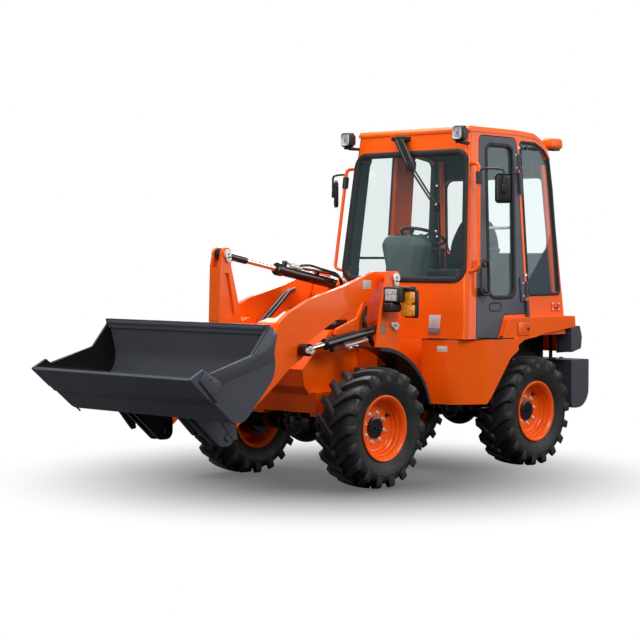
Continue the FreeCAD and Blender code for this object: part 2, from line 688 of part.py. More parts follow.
def grown(points, out):
    # the outline pushed outwards by out, corner radii kept in step
    count = len(points)
    area = sum(points[i][0] * points[(i + 1) % count][1] - points[(i + 1) % count][0] * points[i][1]
               for i in range(count))
    sign = -1.0 if area > 0 else 1.0
    result = []
    for i in range(count):
        first = left_of(points[i - 1], points[i])
        second = left_of(points[i], points[(i + 1) % count])
        na, nb = first[0] + second[0], first[1] + second[1]
        length = math.hypot(na, nb)
        na, nb = na / length, nb / length
        stretch = sign * out / (na * first[0] + nb * first[1])
        radius = points[i][2] if len(points[i]) > 2 else 0.0
        result.append((points[i][0] + na * stretch, points[i][1] + nb * stretch, max(radius + out, 0.5)))
    return result


WINDSHIELD = [(-600, 1440, 100), (600, 1440, 100), (534, 2395, 90), (-534, 2395, 90)]
REAR_WINDOW = [(-525, 1626, 90), (525, 1626, 90), (503, 2246, 90), (-503, 2246, 90)]


def cab_frame():
    shell = cab_shell(CAB_WALL)
    shell = shell.cut(prism(grown(DOOR, DOOR_GAP), "yz", 400, 800))
    shell = shell.cut(prism(REAR_SIDE_WINDOW, "yz", 400, 800))
    shell = shell.cut(prism(RIGHT_FRONT_WINDOW, "yz", -800, -400))
    shell = shell.cut(prism(RIGHT_REAR_WINDOW, "yz", -800, -400))
    shell = shell.cut(prism(WINDSHIELD, "xz", 0, 500))
    shell = shell.cut(prism(REAR_WINDOW, "xz", 1200, 1500))
    shell = shell.common(prism(UNDER_ROOF, "yz", -800, 800))
    return join([shell] + hinge_posts())


def pane(outline, plane, low, high):
    return cab_shell(GLASS, GLASS_INSET).common(prism(outline, plane, low, high))


def cab_glass():
    keep("windshield", pane(WINDSHIELD, "xz", 0, 500))
    keep("rear_window", pane(REAR_WINDOW, "xz", 1200, 1500))
    keep("left_side_window", pane(REAR_SIDE_WINDOW, "yz", 400, 800))
    keep("right_front_window", pane(RIGHT_FRONT_WINDOW, "yz", -800, -400))
    keep("right_rear_window", pane(RIGHT_REAR_WINDOW, "yz", -800, -400))


def hinge_run(z, low, high, radius):
    # a round piece on the door's leaning hinge line, round height z
    a = (door_face(z + low) + HINGE_OUT, HINGE_Y, z + low)
    b = (door_face(z + high) + HINGE_OUT, HINGE_Y, z + high)
    return rod(a, b, radius)


def door():
    slab = cab_shell(CAB_WALL - 4.0)
    frame = slab.common(prism(DOOR, "yz", 400, 800))
    frame = frame.cut(prism(DOOR_WINDOW, "yz", 400, 800))
    hinges = []
    for z in HINGE_Z:
        x = door_face(z)
        hinges.append(hinge_run(z, -26, 26, 12))
        hinges.append(box(x - 4, x + 9, 830, 870, z - 26, z + 26))
        hinges.append(box(x + 3, x + 9, 860, HINGE_Y, z - 26, z + 26))
    knuckles = join([frame] + hinges)
    for z in HINGE_Z:
        knuckles = knuckles.cut(hinge_run(z, -60, 60, 6 + PIN_FIT))
    keep("door_left", knuckles)
    keep("door_glass", pane(DOOR_WINDOW, "yz", 400, 800))


def hinge_posts():
    posts = []
    for z in HINGE_Z:
        x = door_face(z)
        posts.append(hinge_run(z, -58, 58, 6))
        for low, high in ((-58, -32), (32, 58)):
            posts.append(hinge_run(z, low, high, 12))
            posts.append(box(x - 6, x + 14, HINGE_Y, 925, z + low, z + high))
    return posts


def door_face(z):
    # x of the cab's outer side at height z
    share = (z - CAB_LOW) / (CAB_TOP - CAB_LOW)
    return CAB_HALF_LOW + (CAB_HALF_TOP - CAB_HALF_LOW) * share


def cab_floor():
    floor = box(-700, 700, 100, 1500, CAB_LOW, FLOOR_TOP)
    bulkhead = box(-700, 700, 700, 1500, FLOOR_TOP, BULKHEAD_TOP)
    return join([floor, bulkhead]).common(frustum(CAB_WALL))


def cab_roof():
    # a shallow crowned cap whose edge follows the tops of the walls
    outline = [(288, ROOF_LOW), (288, 2564, 20), (306, 2592, 24), (430, 2590, 500), (900, 2587, 500),
               (1130, 2574, 160), (1262, 2512, 120), (1336, 2392, 40), (1340, ROOF_LOW)]
    roof = prism(outline, "yz", -ROOF_HALF, ROOF_HALF)
    over = [edge for edge in roof.Edges if is_rim(edge)]
    roof = roof.makeFillet(ROOF_EDGE, over)
    return roof.cut(prism(UNDER_ROOF, "yz", -ROOF_HALF - 10, ROOF_HALF + 10))


def is_rim(edge):
    # part of the roof's two long side edges, above its lower corners
    at_side = all(abs(abs(v.X) - ROOF_HALF) < 0.01 for v in edge.Vertexes)
    return at_side and edge.BoundBox.ZMax > ROOF_LOW + 10.0 and edge.BoundBox.YLength > 1.0


def console():
    # seen from the front it widens upwards to a six-sided hood
    front = [(-150, FLOOR_TOP), (-185, 1480), (-252, 1686, 40), (-196, 1772, 50), (196, 1772, 50), (252, 1686, 40),
             (185, 1480), (150, FLOOR_TOP)]
    side = [(185, FLOOR_TOP), (206, 1300), (228, 1480), (240, 1690, 60), (264, 1775, 40), (345, 1764, 60),
            (400, 1560, 60), (420, FLOOR_TOP)]
    plan = [(-170, 170), (170, 170), (256, 280), (256, 430), (-256, 430), (-256, 280)]
    return prism(front, "xz", 150, 450).common(prism(side, "yz", -260, 260)).common(
        prism(plan, "xy", CAB_LOW, CAB_TOP))


def tilted(shape):
    # set on the steering column's line
    shape.rotate(FreeCAD.Vector(0, 0, 0), FreeCAD.Vector(1, 0, 0), -STEER_LEAN)
    shape.translate(FreeCAD.Vector(0, *STEER_WHEEL))
    return shape


def steering_wheel():
    up = FreeCAD.Vector(0, 0, 1)
    ring = Part.makeTorus(STEER_WHEEL_R, 13)
    hub = Part.makeCylinder(36, 30, FreeCAD.Vector(0, 0, -25), up)
    column = Part.makeCylinder(22, 190, FreeCAD.Vector(0, 0, -190), up)
    spokes = []
    for turn in (90, 210, 330):
        out = FreeCAD.Vector(math.cos(math.radians(turn)), math.sin(math.radians(turn)), 0)
        spokes.append(Part.makeCylinder(9, STEER_WHEEL_R, FreeCAD.Vector(0, 0, -6), out))
    whole = join([tilted(shape) for shape in [ring, hub, column] + spokes])
    return whole.cut(console())


def seat():
    base = box(-200, 200, 700, 1010, BULKHEAD_TOP, 1400)
    cushion = box(-240, 240, 570, 1040, 1400, 1500)
    back = prism([(970, 1480, 20), (1070, 1480, 20), (1130, 1935, 40), (1046, 1935, 40)], "yz", -250, 250)
    back = back.common(prism([(-215, 1470), (-250, 1640, 80), (-228, 1850, 120), (-110, 1940, 120), (110, 1940, 120),
                              (228, 1850, 120), (250, 1640, 80), (215, 1470)], "xz", 900, 1200))
    return join([base, cushion, back])


def rail_and_mirror():
    top_x = door_face(2300)
    low_x = door_face(1510)
    rail = bent_bar([(top_x - 8, 302, 2306), (top_x + 90, 276, 2300), (low_x + 90, 200, 1520),
                     (low_x - 10, 212, 1497)], 14, 30)
    arm = bent_bar([(top_x + 86, 272, 2240), (840, 322, 2245), (846, 332, 2180)], 9, 20)
    plate = box(-8, 8, -62, 62, -106, 106)
    plate = plate.makeFillet(6, plate.Edges)
    plate.rotate(FreeCAD.Vector(0, 0, 0), FreeCAD.Vector(0, 0, 1), -47)
    plate.translate(FreeCAD.Vector(846, 330, 2113))
    return join([rail, arm, plate]).cut(frustum(0.0))


def roof_light():
    lamp = box(543, 643, 120, 190, 2470, 2580)
    lamp = lamp.makeFillet(14, lamp.Edges)
    stay = box(516, 600, 140, 170, 2452, 2474)
    arm = box(516, 546, 150, 320, 2452, 2474).cut(frustum(0.0))
    return join([lamp, stay, arm])


def hood():
    side = [(1440, 842), (1440, 1118, 6), (1560, 1118, 40), (1650, 1040, 40), (1650, 842)]
    whole = prism(side, "yz", -HOOD_HALF, HOOD_HALF)
    inside = [(1400, 800), (1400, 1108), (1556, 1108, 34), (1640, 1036, 34), (1640, 800)]
    whole = whole.cut(prism(inside, "yz", -HOOD_HALF + 10, HOOD_HALF - 10))
    lugs = []
    for side in (-1, 1):
        a, b = sorted((side * 488, side * 500))
        lugs.append(prism([(1441, 1110), (1441, 1074, 10), (1470, 1074, 10), (1490, 1110)], "yz", a, b))
    return join([whole] + lugs).cut(disc(HOOD_PIN, 8 + PIN_FIT, -520, 520))


def build():
    wheels()
    keep("axle_front", axle(-AXLE_Y))
    keep("axle_rear", axle(AXLE_Y))
    keep("bucket", bucket())
    arms = boom()
    keep("boom", arms)
    boom_hoses(arms)
    keep("bellcrank", bellcrank())
    keep("tilt_link", tilt_link())
    lift_cylinders()
    tilt_cylinder()
    keep("front_frame", front_frame())
    keep_pair("front_fender", front_fender())
    keep_pair("headlight", headlight())
    keep("rear_chassis", rear_chassis())
    keep("engine_block", engine())
    keep("counterweight", counterweight())
    keep_pair("side_panel", side_panel())
    keep_pair("rear_fender", rear_fender())
    keep_pair("rear_lamp", rear_lamp())
    keep("cab_frame", cab_frame())
    keep("cab_floor", cab_floor())
    keep("cab_roof", cab_roof())
    cab_glass()
    door()
    keep("dash_console", console())
    keep("steering_wheel", steering_wheel())
    keep("seat", seat())
    keep_pair("mirror", rail_and_mirror())
    keep_pair("roof_light", roof_light())
    keep("engine_hood", hood())


os.makedirs("parts", exist_ok=True)
build()
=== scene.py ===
import bpy
import json
import math
from mathutils import Matrix, Vector


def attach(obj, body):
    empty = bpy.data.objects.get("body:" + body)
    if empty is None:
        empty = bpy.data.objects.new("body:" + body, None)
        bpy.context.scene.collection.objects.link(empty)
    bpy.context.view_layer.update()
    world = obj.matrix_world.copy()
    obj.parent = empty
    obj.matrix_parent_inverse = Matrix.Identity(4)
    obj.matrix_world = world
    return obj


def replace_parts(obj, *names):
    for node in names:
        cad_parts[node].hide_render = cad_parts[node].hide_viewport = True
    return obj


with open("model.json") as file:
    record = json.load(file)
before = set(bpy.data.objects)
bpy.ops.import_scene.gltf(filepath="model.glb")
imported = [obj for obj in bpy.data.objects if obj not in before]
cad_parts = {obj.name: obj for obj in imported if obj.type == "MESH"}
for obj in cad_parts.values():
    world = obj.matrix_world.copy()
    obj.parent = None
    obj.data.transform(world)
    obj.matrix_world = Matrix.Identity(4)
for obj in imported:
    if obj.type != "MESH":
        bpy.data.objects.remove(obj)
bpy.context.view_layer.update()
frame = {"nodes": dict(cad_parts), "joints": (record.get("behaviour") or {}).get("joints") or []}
jointAt = {joint["name"]: Vector(joint["pos_m"]) for joint in frame["joints"]}
print("frame loaded,", len(frame["nodes"]), "nodes")

bothSides = (("left", "Left", 1), ("right", "Right", -1))
pinY = jointAt["steering"].y
# the cab's walls lean: their places at a low and a high level, and the rise of each wall's outward normal
cab = {"low": 1.000, "high": 2.560, "halfLow": 0.668, "halfHigh": 0.5505, "frontLow": 0.118, "frontHigh": 0.2953,
       "rearLow": 1.420, "rearHigh": 1.317, "sideRise": 0.0753, "frontRise": 0.1136, "rearRise": 0.0662}


def spot(x, y, z):
    # fore-and-aft places count from the steering pin
    return Vector((x, y + pinY, z))


def addNode(tree, kind, operation=None, **values):
    # a shader node with its sockets set; an underscore stands for a space in a socket's name
    node = tree.nodes.new("ShaderNode" + kind)
    if operation:
        node.operation = operation
    for socket, value in values.items():
        node.inputs[socket.replace("_", " ")].default_value = value
    return node


def emptyTree(owner):
    owner.use_nodes = True
    owner.node_tree.nodes.clear()
    return owner.node_tree


# camera and studio

view = {"place": (8.279, -9.1386, 1.6225), "azimuth": 42.97, "elevation": 2.22, "lens": 94.2, "sensor": 36}
# the floor under and around the machine is painted a dark grey as its shadow: a glow of its own sets that grey, and
# it fades to white between two distances from the middle
studio = {"floorSize": 60, "floorMatte": 0.07, "sky": 0.37, "shadowGreyGlow": 0.125, "fadeFrom": 0.7, "fadeTo": 2.7}
lamps = {
    "keyLamp": {"place": (7.5, -1.0, 6.5), "aim": (0.2, 0.2, 1.0), "size": 4.5, "watts": 390},
    "frontLamp": {"place": (0.5, -8.0, 3.8), "aim": (0, 0, 0.9), "size": 5.0, "watts": 250},
    "sideLamp": {"place": (5.8, 5.4, 3.4), "aim": (0, -0.4, 1.2), "size": 5.0, "watts": 130},
    "topLamp": {"place": (-1.0, 0.5, 7.0), "aim": (0, 0, 0), "size": 6.0, "watts": 660},
    "backLamp": {"place": (-5.5, 6.0, 4.5), "aim": (0, 0.5, 1.2), "size": 4.0, "watts": 210},
}


def makeCamera():
    data = bpy.data.cameras.new("studioCamera")
    data.lens = view["lens"]
    data.sensor_width = view["sensor"]
    camera = bpy.data.objects.new("studioCamera", data)
    bpy.context.scene.collection.objects.link(camera)
    turn = math.radians(view["azimuth"])
    rise = math.radians(view["elevation"])
    back = Vector((math.sin(turn) * math.cos(rise), -math.cos(turn) * math.cos(rise), math.sin(rise)))
    camera.location = view["place"]
    camera.rotation_mode = "QUATERNION"
    camera.rotation_quaternion = (-back).to_track_quat("-Z", "Y")
    data.clip_end = 200
    bpy.context.scene.camera = camera


def makeLamps():
    for name, lamp in lamps.items():
        data = bpy.data.lights.new(name, "AREA")
        data.shape = "DISK"
        data.size = lamp["size"]
        data.energy = lamp["watts"]
        lampObject = bpy.data.objects.new(name, data)
        bpy.context.scene.collection.objects.link(lampObject)
        lampObject.location = lamp["place"]
        aim = Vector(lamp["aim"]) - Vector(lamp["place"])
        lampObject.rotation_euler = aim.to_track_quat("-Z", "Y").to_euler()


def makeWorld():
    world = bpy.data.worlds.new("studioWorld")
    bpy.context.scene.world = world
    tree = emptyTree(world)
    link = tree.links.new
    path = addNode(tree, "LightPath")
    seen = addNode(tree, "Math", "MAXIMUM")
    white = addNode(tree, "Background", Color=(1, 1, 1, 1))
    sky = addNode(tree, "Background", Strength=studio["sky"])
    mix = addNode(tree, "MixShader")
    link(path.outputs["Is Camera Ray"], seen.inputs[0])
    link(path.outputs["Is Transmission Ray"], seen.inputs[1])
    link(seen.outputs[0], mix.inputs[0])
    link(sky.outputs[0], mix.inputs[1])
    link(white.outputs[0], mix.inputs[2])
    link(mix.outputs[0], addNode(tree, "OutputWorld").inputs[0])


def makeFloor():
    bpy.ops.object.select_all(action="DESELECT")
    bpy.ops.mesh.primitive_plane_add(size=studio["floorSize"], location=(0, 0, 0))
    floor = bpy.context.object
    floor.name = "studioFloor"
    material = bpy.data.materials.new("paleFloorPaintedShadow")
    tree = emptyTree(material)
    link = tree.links.new
    path = addNode(tree, "LightPath")
    matte = addNode(tree, "BsdfDiffuse", Color=(studio["floorMatte"],) * 3 + (1,))
    paintedGlow = addNode(tree, "Emission")
    both = addNode(tree, "AddShader")
    strength = addNode(tree, "Math", "MULTIPLY")
    strength.inputs[1].default_value = studio["shadowGreyGlow"]
    # near the machine the floor is painted a flat dark grey as its shadow, lifted by a glow of its own; away from the
    # machine the floor fades into plain white
    far = addNode(tree, "Emission")
    geometry = addNode(tree, "NewGeometry")
    distance = addNode(tree, "VectorMath", "LENGTH")
    fade = addNode(tree, "MapRange", From_Min=studio["fadeFrom"], From_Max=studio["fadeTo"])
    fade.interpolation_type = "SMOOTHSTEP"
    share = addNode(tree, "Math", "MULTIPLY")
    mix = addNode(tree, "MixShader")
    link(path.outputs["Is Camera Ray"], strength.inputs[0])
    link(strength.outputs[0], paintedGlow.inputs["Strength"])
    link(matte.outputs[0], both.inputs[0])
    link(paintedGlow.outputs[0], both.inputs[1])
    link(geometry.outputs["Position"], distance.inputs[0])
    link(distance.outputs["Value"], fade.inputs["Value"])
    link(fade.outputs["Result"], share.inputs[0])
    link(path.outputs["Is Camera Ray"], share.inputs[1])
    link(share.outputs[0], mix.inputs[0])
    link(both.outputs[0], mix.inputs[1])
    link(far.outputs[0], mix.inputs[2])
    link(mix.outputs[0], addNode(tree, "OutputMaterial").inputs[0])
    floor.data.materials.append(material)


makeCamera()
makeLamps()
makeWorld()
makeFloor()
bpy.context.scene.view_settings.view_transform = "Standard"
print("camera and studio ready")


# finishes

def newFinish(name, colour, roughness, metallic=0.0):
    material = bpy.data.materials.new(name)
    material.use_nodes = True
    shader = material.node_tree.nodes["Principled BSDF"]
    shader.inputs["Base Color"].default_value = (*colour, 1)
    shader.inputs["Roughness"].default_value = roughness
    shader.inputs["Metallic"].default_value = metallic
    return material, material.node_tree, shader


def noiseNode(tree, scale, detail=3.0):
    place = addNode(tree, "TexCoord")
    noise = addNode(tree, "TexNoise", Scale=scale, Detail=detail)
    tree.links.new(place.outputs["Object"], noise.inputs["Vector"])
    return noise.outputs["Fac"]


def varyColour(tree, shader, scale, low, high, detail=3.0, spread=(0.35, 0.65)):
    ramp = addNode(tree, "ValToRGB")
    for element, position, colour in zip(ramp.color_ramp.elements, spread, (low, high)):
        element.position = position
        element.color = (*colour, 1)
    tree.links.new(noiseNode(tree, scale, detail), ramp.inputs["Fac"])
    tree.links.new(ramp.outputs["Color"], shader.inputs["Base Color"])


def varyRoughness(tree, shader, scale, low, high):
    span = addNode(tree, "MapRange", From_Min=0.3, From_Max=0.7, To_Min=low, To_Max=high)
    tree.links.new(noiseNode(tree, scale, 4.0), span.inputs["Value"])
    tree.links.new(span.outputs["Result"], shader.inputs["Roughness"])


def addBump(tree, shader, scale, strength, distance, detail=2.0):
    bump = addNode(tree, "Bump", Strength=strength, Distance=distance)
    tree.links.new(noiseNode(tree, scale, detail), bump.inputs["Height"])
    tree.links.new(bump.outputs["Normal"], shader.inputs["Normal"])


def scaled(colour, share):
    return tuple(value * share for value in colour)


def paintFinish(name, colour, roughness, coat, peel):
    material, tree, shader = newFinish(name, colour, roughness)
    shader.inputs["Coat Weight"].default_value = coat
    shader.inputs["Coat Roughness"].default_value = 0.06
    shader.inputs["Specular IOR Level"].default_value = 0.22
    varyColour(tree, shader, 2.2, scaled(colour, 0.95), scaled(colour, 1.04))
    varyRoughness(tree, shader, 9.0, roughness * 0.88, roughness * 1.15)
    addBump(tree, shader, 320, peel, 0.0004)
    return material


def plasticFinish(name, colour, roughness, grain=0.35, scale=900):
    material, tree, shader = newFinish(name, colour, roughness)
    varyColour(tree, shader, 6.0, scaled(colour, 0.85), scaled(colour, 1.15))
    varyRoughness(tree, shader, 30, roughness * 0.9, min(roughness * 1.12, 1))
    addBump(tree, shader, scale, grain, 0.0004)
    return material


def metalFinish(name, colour, roughness, grain=0.15, metallic=1.0):
    material, tree, shader = newFinish(name, colour, roughness, metallic)
    varyColour(tree, shader, 40, scaled(colour, 0.86), scaled(colour, 1.08))
    varyRoughness(tree, shader, 60, roughness * 0.8, roughness * 1.3)
    addBump(tree, shader, 500, grain, 0.0003)
    return material


def rubberFinish(name, colour, roughness, dust):
    # a faint paler bloom lies on the rubber in soft patches
    material, tree, shader = newFinish(name, colour, roughness)
    varyColour(tree, shader, 11, colour, dust, 6.0, (0.38, 0.72))
    shader.inputs["Specular IOR Level"].default_value = 0.32
    varyRoughness(tree, shader, 24, roughness * 0.82, min(roughness * 1.15, 1))
    addBump(tree, shader, 260, 0.3, 0.0008, 5.0)
    return material


def glassFinish(name, tint, paintedGlowTint):
    # a thin pane: clear, with a mirror-like outer skin and a faint tinted glow painted into it as its haze
    material = bpy.data.materials.new(name)
    tree = emptyTree(material)
    link = tree.links.new
    clear = addNode(tree, "BsdfTransparent", Color=(*tint, 1))
    skin = addNode(tree, "BsdfGlossy", Roughness=0.02, Color=(0.85, 0.95, 0.93, 1))
    glowLayer = addNode(tree, "Emission", Color=(*paintedGlowTint, 1))
    clearAndGlow = addNode(tree, "AddShader")
    fresnel = addNode(tree, "Fresnel", IOR=1.45)
    # the inner face of the pane doesn't mirror
    geometry = addNode(tree, "NewGeometry")
    front = addNode(tree, "Math", "SUBTRACT")
    front.inputs[0].default_value = 1.0
    mirrored = addNode(tree, "Math", "MULTIPLY")
    mix = addNode(tree, "MixShader")
    link(clear.outputs[0], clearAndGlow.inputs[0])
    link(glowLayer.outputs[0], clearAndGlow.inputs[1])
    link(geometry.outputs["Backfacing"], front.inputs[1])
    link(fresnel.outputs[0], mirrored.inputs[0])
    link(front.outputs[0], mirrored.inputs[1])
    link(mirrored.outputs[0], mix.inputs[0])
    link(clearAndGlow.outputs[0], mix.inputs[1])
    link(skin.outputs[0], mix.inputs[2])
    link(mix.outputs[0], addNode(tree, "OutputMaterial").inputs[0])
    return material


def lensFinish(name, colour, roughness, ripple, paintedGlow=0.0):
    # the lens also takes a faint painted glow of its own colour, with no lamp shining in it
    material, tree, shader = newFinish(name, colour, roughness)
    shader.inputs["Coat Weight"].default_value = 1.0
    shader.inputs["Coat Roughness"].default_value = 0.03
    shader.inputs["Emission Color"].default_value = (*colour, 1)
    shader.inputs["Emission Strength"].default_value = paintedGlow
    varyColour(tree, shader, 55, scaled(colour, 0.6), scaled(colour, 1.1), 1.0)
    addBump(tree, shader, 90, ripple, 0.002)
    return material


orangeColour = (0.98, 0.116, 0.001)
charcoalColour = (0.066, 0.071, 0.088)
orangePaint = paintFinish("orangePaint", orangeColour, 0.36, 0.30, 0.05)
charcoalPaint = paintFinish("charcoalPaint", charcoalColour, 0.46, 0.15, 0.12)
blackPaint = paintFinish("blackPaint", (0.006, 0.006, 0.007), 0.22, 0.8, 0.06)
blackPlastic = plasticFinish("blackPlastic", (0.011, 0.011, 0.012), 0.40)
consolePlastic = plasticFinish("consolePlastic", (0.070, 0.118, 0.108), 0.5)
sealRubber = rubberFinish("sealRubber", (0.016, 0.017, 0.019), 0.6, (0.024, 0.025, 0.028))
tyreRubber = rubberFinish("tyreRubber", (0.017, 0.0165, 0.018), 0.46, (0.030, 0.029, 0.031))
zincSteel = metalFinish("zincSteel", (0.72, 0.71, 0.68), 0.32, 0.15, 0.55)
darkSteel = metalFinish("darkSteel", (0.12, 0.12, 0.125), 0.42)
chromeSteel = metalFinish("chromeSteel", (0.86, 0.86, 0.86), 0.07, 0.02)
tealGlass = glassFinish("tealGlass", (0.950, 0.965, 0.961), (0.005, 0.010, 0.012))
# the side panes carry a stronger painted glow than the others, so they read brighter
sideGlass = glassFinish("sideGlass", (0.930, 0.950, 0.950), (0.012, 0.020, 0.026))
slateLining = plasticFinish("slateLining", (0.022, 0.027, 0.029), 0.7)
labelGrey = plasticFinish("labelGrey", (0.20, 0.20, 0.20), 0.5, 0.05)
paleLabel = plasticFinish("paleLabel", (0.62, 0.62, 0.60), 0.45, 0.05)
seatCloth = plasticFinish("seatCloth", (0.012, 0.014, 0.015), 0.8, 0.8, 600)
clearLens = lensFinish("clearLens", (0.62, 0.64, 0.66), 0.12, 0.5, 0.08)
amberLens = lensFinish("amberLens", (0.90, 0.30, 0.01), 0.15, 0.5, 0.10)
redLens = lensFinish("redLens", (0.55, 0.015, 0.008), 0.15, 0.5, 0.05)
print("finishes ready")


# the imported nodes: their finish, and a real rounding on the edges of plates and castings

finishSlot = {orangePaint: "orange_paint", charcoalPaint: "charcoal_paint", blackPaint: "black_paint",
              blackPlastic: "black_plastic", sealRubber: "black_plastic", slateLining: "black_plastic",
              consolePlastic: "grey_plastic", seatCloth: "seat_fabric", tyreRubber: "tyre",
              chromeSteel: "chrome_rod"}
nodeFinish = [  # finish, rounding of its edges, nodes
    (orangePaint, 0.006, "bellcrank engine_hood"),
    (orangePaint, 0.004, "boom rear_fender_left rear_fender_right"),
    (orangePaint, 0.003, "front_frame cab_frame cab_roof side_panel_left side_panel_right"),
    (orangePaint, 0.003, "rim_front_left rim_front_right rim_rear_left rim_rear_right"),
    (orangePaint, 0, "mirror_left mirror_right"),
    (charcoalPaint, 0.008, "counterweight"),
    (charcoalPaint, 0.006, "rear_lamp_left rear_lamp_right"),
    (charcoalPaint, 0.003, "door_left"),
    (charcoalPaint, 0.002, "bucket"),
    (blackPaint, 0.004, "tilt_link axle_front axle_rear"),
    (blackPaint, 0.003, "rear_chassis"),
    (blackPaint, 0.002, "tilt_barrel lift_barrel_left lift_barrel_right"),
    (blackPlastic, 0.004, "cab_floor"),
    (blackPlastic, 0.003, "front_fender_left front_fender_right"),
    (blackPlastic, 0.002, "headlight_left headlight_right roof_light_left roof_light_right"),
    (blackPlastic, 0, "steering_wheel"),
    (chromeSteel, 0.001, "tilt_rod lift_rod_left lift_rod_right"),
    (tyreRubber, 0, "tyre_front_left tyre_front_right tyre_rear_left tyre_rear_right"),
    (tealGlass, 0, "windshield rear_window right_front_window right_rear_window"),
    (sideGlass, 0, "left_side_window door_glass"),
    (darkSteel, 0.010, "engine_block"),
    (consolePlastic, 0.020, "dash_console"),
    (seatCloth, 0.030, "seat"),
]


def dressNode(name, finish, rounding):
    node = frame["nodes"][name]
    node.data.materials.clear()
    node.data.materials.append(finish)
    if rounding <= 0:
        return
    weld = node.modifiers.new("weld", "WELD")
    weld.merge_threshold = 0.00005
    flats = node.modifiers.new("flats", "DECIMATE")
    flats.decimate_type = "DISSOLVE"
    flats.angle_limit = math.radians(0.5)
    flats.delimit = {"MATERIAL"}
    bevel = node.modifiers.new("rounding", "BEVEL")
    bevel.width = rounding
    bevel.segments = 2
    bevel.limit_method = "ANGLE"
    bevel.angle_limit = math.radians(32)
    # round faces shade smoothly, flat ones stay flat
    node.data.polygons.foreach_set("use_smooth", [True] * len(node.data.polygons))
    split = node.modifiers.new("split", "EDGE_SPLIT")
    split.split_angle = math.radians(36)
    split.use_edge_sharp = False
    level = node.modifiers.new("level", "WEIGHTED_NORMAL")
    level.keep_sharp = True


for finish, rounding, names in nodeFinish:
    for nodeName in names.split():
        dressNode(nodeName, finish, rounding)


def refinish(nodeName, finishes, choose):
    # choose gives a face's place in the list of further finishes, or None to leave it
    mesh = frame["nodes"][nodeName].data
    for finish in finishes:
        mesh.materials.append(finish)
    for face in mesh.polygons:
        index = choose(face)
        if index is not None:
            face.material_index = index + 1


bucketHollow = spot(0, -1.72, 1.02)


def cabFinish(face):
    # the walls are lined inside, the post between the right windows isn't, and the hinge posts match the door
    x, y, z = face.center.x, face.center.y - pinY, face.center.z
    if 0.870 < y < 0.930 and x > 0.670 - cab["sideRise"] * (z - cab["low"]) + 0.002:
        return 1
    inward = face.normal.x * x + face.normal.y * (y - 0.85) < 0
    painted = x < 0 and 0.74 < y < 0.95
    reveal = abs(face.normal.z) > 0.5 or abs(face.normal.x) + abs(face.normal.y) < 0.8
    return 0 if inward and not painted and not reveal else None


# the faces that look into the bucket's hollow are painted black: a painted shade inside the bucket
def bucketInsideShade(face):
    return 0 if face.normal.dot(bucketHollow - face.center) > 0.12 else None


refinish("cab_frame", [slateLining, charcoalPaint], cabFinish)
refinish("engine_hood", [charcoalPaint], lambda face: 0 if abs(face.normal.x) > 0.9 else None)
refinish("bucket", [blackPaint], bucketInsideShade)
refinish("cab_roof", [slateLining], lambda face: 0 if face.normal.z < -0.3 else None)
print("nodes dressed")

# the few modelling moves that the pieces share

def leaveEdit():
    if bpy.context.object and bpy.context.object.mode != "OBJECT":
        bpy.ops.object.mode_set(mode="OBJECT")


def clearSelection():
    leaveEdit()
    bpy.ops.object.select_all(action="DESELECT")


def pickOnly(piece):
    clearSelection()
    piece.select_set(True)
    bpy.context.view_layer.objects.active = piece


def editAll(piece):
    pickOnly(piece)
    bpy.ops.object.mode_set(mode="EDIT")
    bpy.ops.mesh.select_all(action="SELECT")


def settle(piece):
    # the piece's place goes into its mesh
    pickOnly(piece)
    bpy.ops.object.transform_apply(location=True, rotation=True, scale=True)


def faceOut(piece):
    editAll(piece)
    bpy.ops.mesh.remove_doubles(threshold=0.00002)
    bpy.ops.mesh.normals_make_consistent(inside=False)
    leaveEdit()


def applyAll(piece):
    pickOnly(piece)
    for modifier in list(piece.modifiers):
        bpy.ops.object.modifier_apply(modifier=modifier.name)


def softEdges(piece, width, segments=2, angle=32):
    bevel = piece.modifiers.new("softEdges", "BEVEL")
    bevel.width = width
    bevel.segments = segments
    bevel.limit_method = "ANGLE"
    bevel.angle_limit = math.radians(angle)
    applyAll(piece)


def joined(pieces, name):
    clearSelection()
    for piece in pieces:
        piece.select_set(True)
    bpy.context.view_layer.objects.active = pieces[0]
    if len(pieces) > 1:
        bpy.ops.object.join()
    pieces[0].name = name
    pieces[0].data.name = name
    return pieces[0]


def doneWith(pieces, name, finish, body="rear_body", slot="of finish", smooth=34):
    piece = joined(pieces if isinstance(pieces, list) else [pieces], name)
    piece.data.materials.clear()
    piece.data.materials.append(finish)
    pickOnly(piece)
    bpy.ops.object.shade_smooth_by_angle(angle=math.radians(smooth))
    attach(piece, body)
    if slot == "of finish":
        slot = finishSlot.get(finish)
    return piece


def aimed(direction):
    return Vector((1, 0, 0)).rotation_difference(Vector(direction)).to_matrix().to_4x4()


def turned(start, direction, rings, segments=48, open=False):
    # a round piece: a circle extruded and resized from ring to ring of (distance, radius)
    clearSelection()
    far, wide = rings[0]
    bpy.ops.mesh.primitive_circle_add(vertices=segments, radius=wide, fill_type="NOTHING" if open else "NGON",
                                      location=(far, 0, 0), rotation=(0, math.pi / 2, 0))
    piece = bpy.context.object
    settle(piece)
    editAll(piece)
    for (lastFar, lastWide), (far, wide) in zip(rings, rings[1:]):
        bpy.ops.mesh.extrude_region_move(TRANSFORM_OT_translate={"value": (far - lastFar, 0, 0)})
        share = wide / lastWide
        bpy.ops.transform.resize(value=(1, share, share), center_override=(far, 0, 0))
    if not open:
        bpy.ops.mesh.select_all(action="DESELECT")
        bpy.ops.mesh.select_non_manifold()
        bpy.ops.mesh.edge_face_add()
    faceOut(piece)
    piece.data.transform(Matrix.Translation(start) @ aimed(direction))
    return piece


def stub(start, direction, rings, segments=24):
    # a round piece that starts with the radius of its first ring
    return turned(start, direction, [(0, rings[0][1])] + rings, segments)


